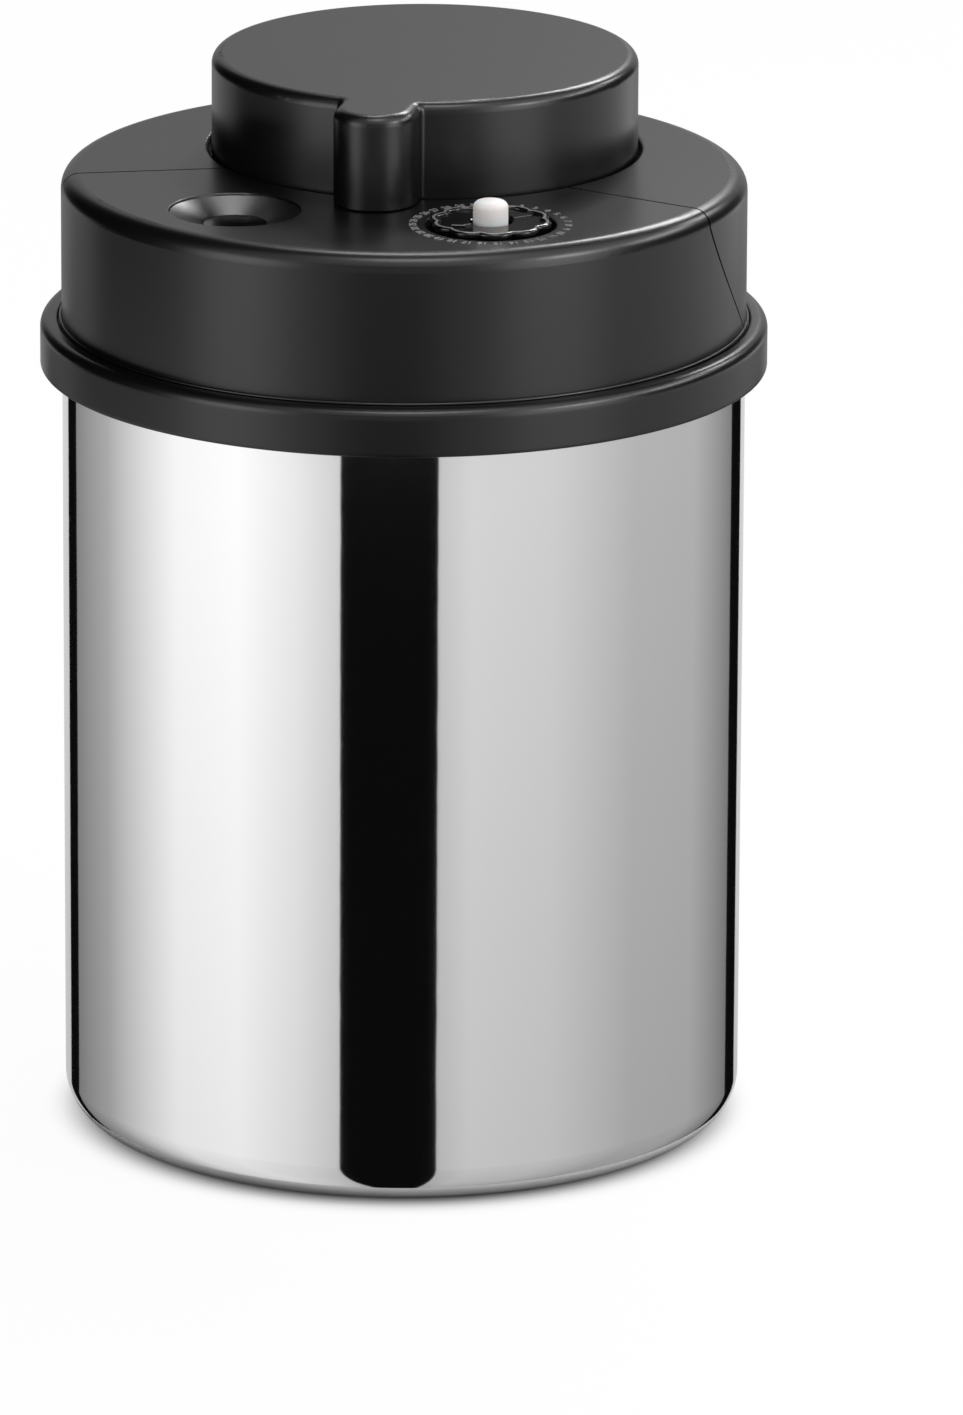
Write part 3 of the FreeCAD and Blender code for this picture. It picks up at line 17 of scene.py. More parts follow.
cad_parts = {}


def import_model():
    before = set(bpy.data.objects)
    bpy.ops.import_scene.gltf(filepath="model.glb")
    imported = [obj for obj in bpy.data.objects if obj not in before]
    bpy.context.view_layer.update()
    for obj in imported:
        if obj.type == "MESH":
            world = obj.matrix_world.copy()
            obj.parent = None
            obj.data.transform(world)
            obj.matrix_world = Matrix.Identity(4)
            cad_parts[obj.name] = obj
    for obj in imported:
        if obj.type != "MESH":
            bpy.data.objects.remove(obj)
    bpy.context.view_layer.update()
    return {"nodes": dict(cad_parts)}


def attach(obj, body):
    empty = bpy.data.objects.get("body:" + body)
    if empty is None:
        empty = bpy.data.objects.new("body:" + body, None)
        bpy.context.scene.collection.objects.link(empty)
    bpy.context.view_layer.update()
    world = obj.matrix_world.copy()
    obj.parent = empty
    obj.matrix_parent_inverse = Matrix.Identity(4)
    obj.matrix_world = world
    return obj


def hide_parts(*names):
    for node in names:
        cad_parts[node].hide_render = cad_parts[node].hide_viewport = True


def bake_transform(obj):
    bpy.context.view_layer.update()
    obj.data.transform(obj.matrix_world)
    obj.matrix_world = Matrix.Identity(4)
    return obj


LOG = logging.getLogger("canister")
MM = 0.001
# Points closer than this are one point
MERGE_DISTANCE = 0.001
# Edges that bend by more than this stay sharp
CREASE_ANGLE = 40.0
# Layers of detail in the noise of the fine grain and of the broad patches
GRAIN_DETAIL = 2.0
PATCH_DETAIL = 3.0

Point = tuple[float, float]
Rings = list[list[Vector]]


class Body(Enum):
    """The moving bodies of the CAD frame that new pieces ride on."""

    CANISTER = "canister"
    LID = "lid"
    INDICATOR = "indicator"
    RELEASE = "release_valve"
    DIAL = "dial"


class Slot(Enum):
    """Names of the record's material slots for the new pieces' finishes."""

    STEEL = "polished_steel"
    SATIN_BLACK = "satin_black_plastic"
    GLOSS_BLACK = "gloss_black_plastic"
    WHITE_SILICONE = "white_silicone"
    ZINC = "zinc_steel"


def linear(hex_colour: str) -> tuple[float, float, float, float]:
    """Turn an sRGB hex colour into linear red, green, blue and alpha.

    Args:
        hex_colour: six hex digits after a hash sign.

    Returns:
        The colour as Blender's sockets take it.
    """
    channels = []
    for start in (1, 3, 5):
        share = int(hex_colour[start : start + 2], 16) / 255
        channels.append(share / 12.92 if share <= 0.04045 else ((share + 0.055) / 1.055) ** 2.4)
    return channels[0], channels[1], channels[2], 1.0


def per_mm(size: float) -> float:
    """The scale at which a texture's features are about this many millimetres apart."""
    return 1 / (size * MM)


def add_node(
    tree: bpy.types.NodeTree,
    kind: str,
    inputs: dict[str | int, object] | None = None,
    **settings: object,
) -> bpy.types.Node:
    """Add a node, set it up, and give its inputs values or links.

    Args:
        tree: the tree that gets the node.
        kind: the node's type name.
        inputs: for each input, by name or number, a value or the output socket to link.
        **settings: the node's own properties.

    Returns:
        The new node.
    """
    node = tree.nodes.new(kind)
    for name, value in settings.items():
        setattr(node, name, value)
    for key, value in (inputs or {}).items():
        if isinstance(value, bpy.types.NodeSocket):
            tree.links.new(value, node.inputs[key])
        else:
            node.inputs[key].default_value = value
    return node


@dataclass(frozen=True)
class Finish:
    """A surface with a fine grain and with broad patches of slightly other tone and gloss."""

    name: str
    colour: str
    roughness: float
    grain: float
    grain_depth: float
    stretch: tuple[float, float, float] = (1.0, 1.0, 1.0)
    patch: float = 30.0
    tone_swing: float = 0.08
    gloss_swing: float = 0.1

    def sockets(self) -> dict[str, object]:
        """Constant values of the shader's sockets."""
        return {}

    def shade(self, share: float) -> tuple[float, ...]:
        """The colour, made lighter or darker by a share."""
        return tuple(min(channel * share, 1.0) for channel in linear(self.colour)[:3]) + (1.0,)

    def make(self) -> bpy.types.Material:
        """Build the material."""
        material = bpy.data.materials.new(self.name)
        material.use_nodes = True
        tree = material.node_tree
        tree.nodes.clear()
        place = add_node(tree, "ShaderNodeTexCoord").outputs["Object"]
        drawn_out = add_node(tree, "ShaderNodeMapping", {"Vector": place, "Scale": self.stretch})
        grain = add_node(
            tree,
            "ShaderNodeTexNoise",
            {
                "Vector": drawn_out.outputs["Vector"],
                "Scale": per_mm(self.grain),
                "Detail": GRAIN_DETAIL,
            },
        )
        bump = add_node(
            tree,
            "ShaderNodeBump",
            {"Height": grain.outputs["Fac"], "Distance": self.grain_depth * MM},
        )
        patches = add_node(
            tree,
            "ShaderNodeTexNoise",
            {"Vector": place, "Scale": per_mm(self.patch), "Detail": PATCH_DETAIL},
        )
        tint = add_node(
            tree,
            "ShaderNodeMix",
            {
                0: patches.outputs["Fac"],
                6: self.shade(1 - self.tone_swing),
                7: self.shade(1 + self.tone_swing),
            },
            data_type="RGBA",
        )
        gloss = add_node(
            tree,
            "ShaderNodeMapRange",
            {
                "Value": patches.outputs["Fac"],
                "To Min": self.roughness * (1 - self.gloss_swing),
                "To Max": self.roughness * (1 + self.gloss_swing),
            },
        )
        shader = add_node(
            tree,
            "ShaderNodeBsdfPrincipled",
            {
                "Base Color": tint.outputs[2],
                "Roughness": gloss.outputs["Result"],
                "Normal": bump.outputs["Normal"],
                **self.sockets(),
            },
        )
        add_node(tree, "ShaderNodeOutputMaterial", {"Surface": shader.outputs["BSDF"]})
        return material


@dataclass(frozen=True)
class Metal(Finish):
    """Bare or plated metal."""

    def sockets(self) -> dict[str, object]:
        """A metal all over."""
        return {"Metallic": 1.0}


@dataclass(frozen=True)
class Plastic(Finish):
    """Moulded plastic, through which light may spread a little."""

    scatter: float = 0.0
    scatter_depth: float = 2.0
    ior: float = 1.5

    def sockets(self) -> dict[str, object]:
        """The gloss of the stuff, and the light that spreads inside."""
        return {
            "IOR": self.ior,
            "Subsurface Weight": self.scatter,
            "Subsurface Scale": self.scatter_depth * MM,
        }


@dataclass(frozen=True)
class Elastomer(Plastic):
    """Rubber or silicone, with a lower gloss than plastic and light that spreads further."""

    scatter_depth: float = 2.5
    ior: float = 1.41


@dataclass(frozen=True)
class Felt(Finish):
    """Pressed fibres."""

    fuzz: float = 0.5

    def sockets(self) -> dict[str, object]:
        """The light rim that loose fibres give."""
        return {"Sheen Weight": self.fuzz, "Sheen Roughness": self.fuzz}


# Stainless sheet, deep drawn and buffed: a mirror whose edges waver where the wall is uneven
POLISHED_STEEL = Metal("polished_stainless_steel", "#E4E4E5", 0.05, 11.0, 0.012, tone_swing=0.01)
# The same sheet inside, brushed in rings: highlights drawn out across fine level lines, which are
# drawn coarser than real ones so that they show
BRUSHED_STEEL = Metal(
    "brushed_stainless_steel", "#D6D6D7", 0.3, 0.6, 0.004, stretch=(0.02, 0.02, 1.0), tone_swing=0.02
)
# ABS from a spark-eroded mould: deep black under a broad, soft, greyish highlight
SATIN_BLACK = Plastic("satin_black_abs", "#070707", 0.3, 0.5, 0.004)
# ABS from a polished mould: deep black with small bright glints
GLOSS_BLACK = Plastic("gloss_black_abs", "#070708", 0.14, 1.5, 0.003)
# The same ABS painted paler on the dial's crest: a painted highlight, so that the crest reads as a thin
# bright line
PAINTED_HIGHLIGHT_BLACK = Plastic("painted_highlight_black_abs", "#7A7A78", 0.2, 1.5, 0.003, tone_swing=0.25)
# Silicone from a blasted mould: milky, with light that spreads to its edges
WHITE_SILICONE = Elastomer("white_silicone", "#E2E2E0", 0.45, 0.4, 0.006, scatter=0.45)
# Unfilled silicone: a greyer white than the pigmented one, with more light inside and a soft gloss
CLEAR_SILICONE = Elastomer("clear_silicone", "#D3D5D2", 0.35, 0.8, 0.006, scatter=0.6)
# Nitrile rubber: matt black with a dusty tone
BLACK_RUBBER = Elastomer("black_nitrile_rubber", "#1E1E1E", 0.7, 0.5, 0.01, tone_swing=0.2)
# Acetal: a waxy natural white that lets a little light in
ACETAL = Plastic("natural_acetal", "#E5E5E0", 0.34, 0.6, 0.004, scatter=0.15)
# Grey ABS as moulded: even and fairly dull
PUMP_ABS = Plastic("grey_abs", "#9DA0A2", 0.42, 0.5, 0.005)
# Needle-felted polyester: a soft white pad with loose fibres
FILTER_FELT = Felt("polyester_felt", "#E9E9E4", 0.9, 0.35, 0.12, tone_swing=0.15)
# Steel with a bright zinc plate: silvery, a little cloudy
ZINC_PLATE = Metal("zinc_plated_steel", "#C3C6CA", 0.3, 0.7, 0.004, patch=4.0, gloss_swing=0.25)
# Grey painted on the raised figures: a painted highlight for the glints their edges catch, dull with a
# faint shine
FIGURE_PAINTED_GLINT = Plastic("grey_figures_painted_glint", "#8C8C8A", 0.3, 0.3, 0.004)


def merge(work: bmesh.types.BMesh) -> None:
    """Join the points of a worked mesh that lie together, and turn its faces outwards."""
    bmesh.ops.remove_doubles(work, verts=work.verts, dist=MERGE_DISTANCE * MM)
    bmesh.ops.recalc_face_normals(work, faces=work.faces)


def placed(name: str, work: bmesh.types.BMesh, materials: list[bpy.types.Material]) -> bpy.types.Object:
    """Turn a worked mesh into an object of the scene.

    Args:
        name: the piece's name.
        work: the mesh, which is freed.
        materials: the piece's materials.

    Returns:
        The new object, at the origin.
    """
    mesh = bpy.data.meshes.new(name)
    work.to_mesh(mesh)
    work.free()
    for material in materials:
        mesh.materials.append(material)
    piece = bpy.data.objects.new(name, mesh)
    bpy.context.scene.collection.objects.link(piece)
    return piece


def skin(
    name: str,
    rings: Rings,
    materials: list[bpy.types.Material],
    closed: bool,
    second: range = range(0),
) -> bpy.types.Object:
    """Make a smooth mesh through rings of points.

    Args:
        name: the piece's name.
        rings: closed rings with the same number of points.
        materials: the piece's materials.
        closed: whether the last ring joins the first.
        second: the rings after which the faces take the second material.

    Returns:
        The new object, at the origin.
    """
    work = bmesh.new()
    rows = [[work.verts.new(point) for point in ring] for ring in rings]
    count = len(rows)
    for index in range(count if closed else count - 1):
        lower, upper = rows[index], rows[(index + 1) % count]
        for step in range(len(lower)):
            following = (step + 1) % len(lower)
            face = work.faces.new((lower[step], lower[following], upper[following], upper[step]))
            face.smooth = True
            face.material_index = int(index in second)
    merge(work)
    crease = math.radians(CREASE_ANGLE)
    for edge in work.edges:
        edge.smooth = edge.calc_face_angle(0.0) < crease
    return placed(name, work, materials)


def turned_rings(outline: list[Point], steps: int, centre: Point = (0.0, 0.0)) -> Rings:
    """Turn an outline about an upright axis.

    Args:
        outline: (radius, height) points in millimetres.
        steps: points on each ring.
        centre: where the axis stands, in millimetres.

    Returns:
        One ring for each point of the outline, in metres.
    """
    rings = []
    for radius, height in outline:
        ring = []
        for step in range(steps):
            turn = 2 * math.pi * step / steps
            across, along = radius * math.cos(turn), radius * math.sin(turn)
            ring.append(Vector((centre[0] + across, centre[1] + along, height)) * MM)
        rings.append(ring)
    return rings


def arc(centre: Point, radius: float, start: float, end: float, steps: int) -> list[Point]:
    """Points along an arc.

    Args:
        centre: the arc's centre.
        radius: its radius.
        start: the angle of its first point, in degrees.
        end: the angle of its last point, in degrees.
        steps: the number of runs between the points.

    Returns:
        The arc's points, both ends among them.
    """
    points = []
    for step in range(steps + 1):
        turn = math.radians(start + (end - start) * step / steps)
        points.append((centre[0] + radius * math.cos(turn), centre[1] + radius * math.sin(turn)))
    return points


def eased(start: Point, end: Point, steps: int) -> list[Point]:
    """Points along a soft step between two levels.

    Args:
        start: where the step leaves the first level.
        end: where it reaches the second level.
        steps: the number of runs between the points.

    Returns:
        The step's points, both ends among them.
    """
    points = []
    for step in range(steps + 1):
        share = step / steps
        ease = share * share * (3 - 2 * share)
        points.append((start[0] + (end[0] - start[0]) * share, start[1] + (end[1] - start[1]) * ease))
    return points


def finer(knots: tuple[Point, ...], step: float = 5.0) -> list[Point]:
    """Add points between the knots of a line so that none are further apart than a step."""
    points = [knots[0]]
    for (start, first), (end, last) in zip(knots, knots[1:]):
        count = math.ceil(abs(end - start) / step)
        for index in range(1, count + 1):
            share = index / count
            points.append((start + (end - start) * share, first + (last - first) * share))
    return points


def hand_over(piece: bpy.types.Object, body: Body, slot: Slot, *nodes: str) -> None:
    """Let a finished piece ride on its body, and report it.

    Args:
        piece: the piece.
        body: the CAD body that it moves with.
        slot: not used.
        *nodes: the CAD nodes that it stands for.
    """
    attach(piece, body.value)
    if nodes:
        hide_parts(*nodes)
    LOG.info("%s: %d faces, rides on %s", piece.name, len(piece.data.polygons), body.value)


@dataclass
class SteelJar:
    """Deep-drawn jar with a pressed base and a rim rolled outwards.

    The tight distance is how near to a bend the flat beside it has its first points.
    """

    radius: float = 61.1
    wall: float = 0.8
    base_corner: float = 6.9
    foot_width: float = 5.2
    base_rise: float = 1.2
    base_slope: float = 2.5
    rim_height: float = 143.5
    curl_radius: float = 1.2
    tight: float = 0.3
    steps: int = 256
    corner_steps: int = 16
    inner_steps: int = 12
    curl_steps: int = 24
    slope_steps: int = 8
    corner: float = field(init=False)
    foot: float = field(init=False)
    dome: float = field(init=False)

    def __post_init__(self) -> None:
        """Work out the radii that both sides of the sheet share."""
        self.corner = self.radius - self.base_corner
        self.foot = self.corner - self.foot_width
        self.dome = self.foot - self.base_slope

    def outside(self) -> list[Point]:
        """The outline from the middle of the base to the inner side of the rolled rim."""
        curl = self.radius - self.wall + self.curl_radius
        level = self.rim_height - self.curl_radius
        bore = self.curl_radius - self.wall
        points = [(0.0, self.base_rise), (self.dome - self.tight, self.base_rise)]
        points += eased((self.dome, self.base_rise), (self.foot, 0.0), self.slope_steps)
        points += [(self.foot + self.tight, 0.0), (self.corner - self.tight, 0.0)]
        points += arc((self.corner, self.base_corner), self.base_corner, -90, 0, self.corner_steps)
        points += [(self.radius, self.base_corner + self.tight), (self.radius, self.rim_height / 2)]
        points += [(self.radius, level - self.tight)]
        points += arc((curl, level), bore, 180, -90, self.inner_steps)
        points += arc((curl, level), self.curl_radius, -90, 180, self.curl_steps)
        return points

    def inside(self) -> list[Point]:
        """The outline from the rim down to the middle of the floor."""
        inner = self.radius - self.wall
        level = self.rim_height - self.curl_radius
        bend = self.base_corner - self.wall
        high = self.wall + self.base_rise
        points = [(inner, level - self.tight), (inner, self.rim_height / 2)]
        points += [(inner, self.base_corner + self.tight)]
        points += arc((self.corner, self.base_corner), bend, 0, -90, self.inner_steps)
        points += [(self.corner - self.tight, self.wall), (self.foot + self.tight, self.wall)]
        points += eased((self.foot, self.wall), (self.dome, high), self.slope_steps)
        points += [(self.dome - self.tight, high), (0.0, high)]
        return points

    def build(self) -> None:
        """Build and dress the jar."""
        outside = self.outside()
        rings = turned_rings(outside + self.inside(), self.steps)
        materials = [POLISHED_STEEL.make(), BRUSHED_STEEL.make()]
        brushed = range(len(outside) - 1, len(rings))
        jar = skin("steel_jar", rings, materials, closed=False, second=brushed)
        hand_over(jar, Body.CANISTER, Slot.STEEL, "canister_body")


@dataclass
class FlangeBand:
    """Moulded skin of the lid's flange ring, and the bead at the foot of the covers inside it.

    The skin stands proud of the solid ring by a hair and is sunk into it on its hidden side. Its flats
    have points at a share of each bend's radius beside the bend.
    """

    radius: float = 65.0
    bottom: float = 139.4
    top: float = 147.9
    edge: float = 1.8
    lip: float = 0.4
    skirt: float = 63.3
    groove: float = 61.8
    groove_edge: float = 0.5
    proud: float = 0.02
    sunk: float = 0.06
    edge_share: float = 1.2
    groove_share: float = 1.4
    groove_wall_share: float = 1.5
    lip_share: float = 2.0
    foot_width: float = 0.45
    edge_steps: int = 14
    lip_steps: int = 6
    groove_steps: int = 8
    bead: float = 0.32
    bead_inset: float = 0.42
    bead_rise: float = 0.1
    bead_points: int = 24
    steps: int = 256

    def outline(self) -> list[Point]:
        """The skin's closed outline, from the foot round the outside and back through the solid."""
        outer, inner = self.radius + self.proud, self.groove - self.proud
        high, low = self.top + self.proud, self.bottom - self.proud
        hidden = self.skirt + self.sunk
        points = [(self.skirt + self.proud, low), (outer - self.lip - self.foot_width, low)]
        points += arc((outer - self.lip, low + self.lip), self.lip, -90, 0, self.lip_steps)
        points += [(outer, low + self.lip_share * self.lip), (outer, high - self.edge_share * self.edge)]
        points += arc((outer - self.edge, high - self.edge), self.edge, 0, 90, self.edge_steps)
        points += [(outer - self.edge_share * self.edge, high)]
        points += [(inner + self.groove_share * self.groove_edge, high)]
        bend = (inner + self.groove_edge, high - self.groove_edge)
        points += arc(bend, self.groove_edge, 90, 180, self.groove_steps)
        points += [(inner, high - self.groove_wall_share * self.groove_edge)]
        points += [(hidden, high - self.edge), (hidden, low + self.lip)]
        return points

    def bead_outline(self) -> list[Point]:
        """The bead's round section."""
        centre = (self.groove - self.bead_inset, self.top + self.bead_rise)
        last = 360 - 360 / self.bead_points
        return arc(centre, self.bead, 0, last, self.bead_points - 1)

    def build(self) -> None:
        """Build and dress the band and the bead."""
        satin = SATIN_BLACK.make()
        for name, outline in (("flange_band", self.outline()), ("cover_foot_bead", self.bead_outline())):
            piece = skin(name, turned_rings(outline, self.steps), [satin], closed=True)
            hand_over(piece, Body.LID, Slot.SATIN_BLACK)


@dataclass
class Eye:
    """A round feature in the front of the lid's top."""

    across: float = 22.9825
    front: float = 34.9876
    lid_top: float = 174.7

    def at(self, right: float, back: float, height: float) -> Vector:
        """A point in metres, this far to the right of the eye's axis and behind it, at this height."""
        return Vector((self.across + right, back - self.front, height)) * MM


@dataclass
class ReleasePin(Eye):
    """Silicone pin that is pressed to let air in."""

    radius: float = 3.1
    rise: float = 4.6
    edge: float = 1.3
    edge_turn: float = 82.0
    edge_steps: int = 10
    crown: float = 0.25
    crown_radius_share: float = 1 / 3
    crown_drop_share: float = 1 / 6
    collar_radius: float = 4.2
    collar_low: float = 161.7
    collar_high: float = 165.7
    stem_radius: float = 1.5
    tail: float = 147.3
    steps: int = 64

    def outline(self) -> list[Point]:
        """The outline from the stem's tail up to the tip."""
        tip = self.lid_top + self.rise
        shoulder = tip - self.crown - self.edge
        points = [(0.0, self.tail), (self.stem_radius, self.tail), (self.stem_radius, self.collar_low)]
        points += [(self.collar_radius, self.collar_low), (self.collar_radius, self.collar_high)]
        points += [(self.radius, self.collar_high), (self.radius, shoulder - self.edge / 2)]
        bend = (self.radius - self.edge, shoulder)
        points += arc(bend, self.edge, 0, self.edge_turn, self.edge_steps)
        points += [(self.radius * self.crown_radius_share, tip - self.crown * self.crown_drop_share)]
        points += [(0.0, tip)]
        return points

    def build(self) -> None:
        """Build and dress the pin."""
        rings = turned_rings(self.outline(), self.steps, (self.across, -self.front))
        pin = skin("release_pin_soft", rings, [WHITE_SILICONE.make()], closed=False)
        hand_over(pin, Body.RELEASE, Slot.WHITE_SILICONE, "release_pin")


@dataclass
class DateDial(Eye):
    """Scalloped dial around the release pin, with a pointer across its floor.

    Its rim is a half round whose crest, a few of its runs wide, is painted pale: a painted highlight.
    """

    peak: float = 10.799
    valley: float = 9.899
    lobes: int = 10
    wall: float = 1.3
    under: float = 172.8
    floor: float = 175.2
    rim_top: float = 175.7
    rim_round: float = 0.45
    rim_steps: int = 16
    crest_steps: int = 4
    edge: float = 0.2
    edge_flat: float = 0.4
    foot_gap: float = 0.1
    bore: float = 3.7
    hub: float = 5.2
    hub_under: float = 167.9
    pointer_turn: float = 222.0
    pointer_width: float = 1.5
    pointer_rise: float = 0.4
    pointer_sunk: float = 0.2
    pointer_gap: float = 0.5
    pointer_head: float = 2.2
    pointer_edge: float = 0.12
    steps: int = 320

    def turn(self, step: int) -> float:
        """The angle of a ring's point, counted from a valley, in radians."""
        return 2 * math.pi * (step / self.steps - 0.5 / self.lobes)

    def lobed_ring(self, inset: float, height: float) -> list[Vector]:
        """A ring that follows the dial's lobes, this far in from its edge."""
        points = []
        for step in range(self.steps):
            lobe = (step / self.steps * self.lobes) % 1
            bulge = 1 - (2 * lobe - 1) ** 2
            radius = self.valley + (self.peak - self.valley) * bulge - inset
            turn = self.turn(step)
            points.append(self.at(radius * math.cos(turn), radius * math.sin(turn), height))
        return points

    def round_ring(self, radius: float, height: float) -> list[Vector]:
        """A round ring with as many points as the lobed ones."""
        points = []
        for step in range(self.steps):
            turn = self.turn(step)
            points.append(self.at(radius * math.cos(turn), radius * math.sin(turn), height))
        return points

    def build(self) -> None:
        """Build and dress the dial with its pointer."""
        rings = [self.round_ring(self.bore, self.hub_under)]
        rings += [self.round_ring(self.bore, self.floor - self.edge)]
        rings += [self.round_ring(self.bore + self.edge, self.floor)]
        rings += [self.lobed_ring(self.wall + self.edge_flat, self.floor)]
        rings += [self.lobed_ring(self.wall + self.foot_gap, self.floor)]
        # The crest's rings take the pale black: a painted highlight
        crest_start = len(rings) + (self.rim_steps - self.crest_steps) // 2
        crest = range(crest_start, crest_start + self.crest_steps)
        top = self.rim_top - self.rim_round
        for across, height in arc((0.0, 0.0), 1.0, 0, 180, self.rim_steps):
            inset = self.wall / 2 * (1 + across)
            rings.append(self.lobed_ring(inset, top + self.rim_round * height))
        rings += [self.lobed_ring(0.0, top - self.edge)]
        rings += [self.lobed_ring(0.0, self.under + self.edge_flat)]
        rings += [self.lobed_ring(0.0, self.under + self.edge), self.lobed_ring(self.edge, self.under)]
        rings += [self.round_ring(self.hub, self.under), self.round_ring(self.hub, self.hub_under)]
        gloss = GLOSS_BLACK.make()
        materials = [gloss, PAINTED_HIGHLIGHT_BLACK.make()]
        dial = skin("date_dial_lobed", rings, materials, closed=True, second=crest)
        hand_over(dial, Body.DIAL, Slot.GLOSS_BLACK, "date_dial")
        pointer = self.pointer(gloss)
        hand_over(pointer, Body.DIAL, Slot.GLOSS_BLACK)

    def pointer_shapes(self) -> list[list[Point]]:
        """The arrow's head and its tail, along the pointer's own line from the dial's axis."""
        inner = self.bore + self.pointer_gap
        outer = self.valley - self.wall - self.pointer_gap
        half = self.pointer_width / 2
        barb = self.pointer_width
        head = outer - self.pointer_head
        arrow = [(inner, -half), (head, -half), (head, -barb), (outer, 0.0)]
        arrow += [(head, barb), (head, half), (inner, half)]
        tail = [(-outer, -half), (-inner, -half), (-inner, half), (-outer, half)]
        return [arrow, tail]

    def pointer(self, material: bpy.types.Material) -> bpy.types.Object:
        """Raise an arrow across the dial's floor.

        Args:
            material: the dial's own material.

        Returns:
            The arrow.
        """
        work = bmesh.new()
        turn = math.radians(self.pointer_turn)
        cosine, sine = math.cos(turn), math.sin(turn)
        foot = self.floor - self.pointer_sunk
        for shape in self.pointer_shapes():
            corners = []
            for along, aside in shape:
                place = self.at(along * cosine - aside * sine, along * sine + aside * cosine, foot)
                corners.append(work.verts.new(place))
            face = work.faces.new(corners)
            raised = bmesh.ops.extrude_face_region(work, geom=[face])
            for item in raised["geom"]:
                if isinstance(item, bmesh.types.BMVert):
                    item.co.z += (self.pointer_rise + self.pointer_sunk) * MM
        bmesh.ops.recalc_face_normals(work, faces=work.faces)
        bmesh.ops.bevel(
            work,
            geom=list(work.edges),
            offset=self.pointer_edge * MM,
            segments=2,
            affect="EDGES",
            profile=0.5,
        )
        return placed("dial_pointer", work, [material])


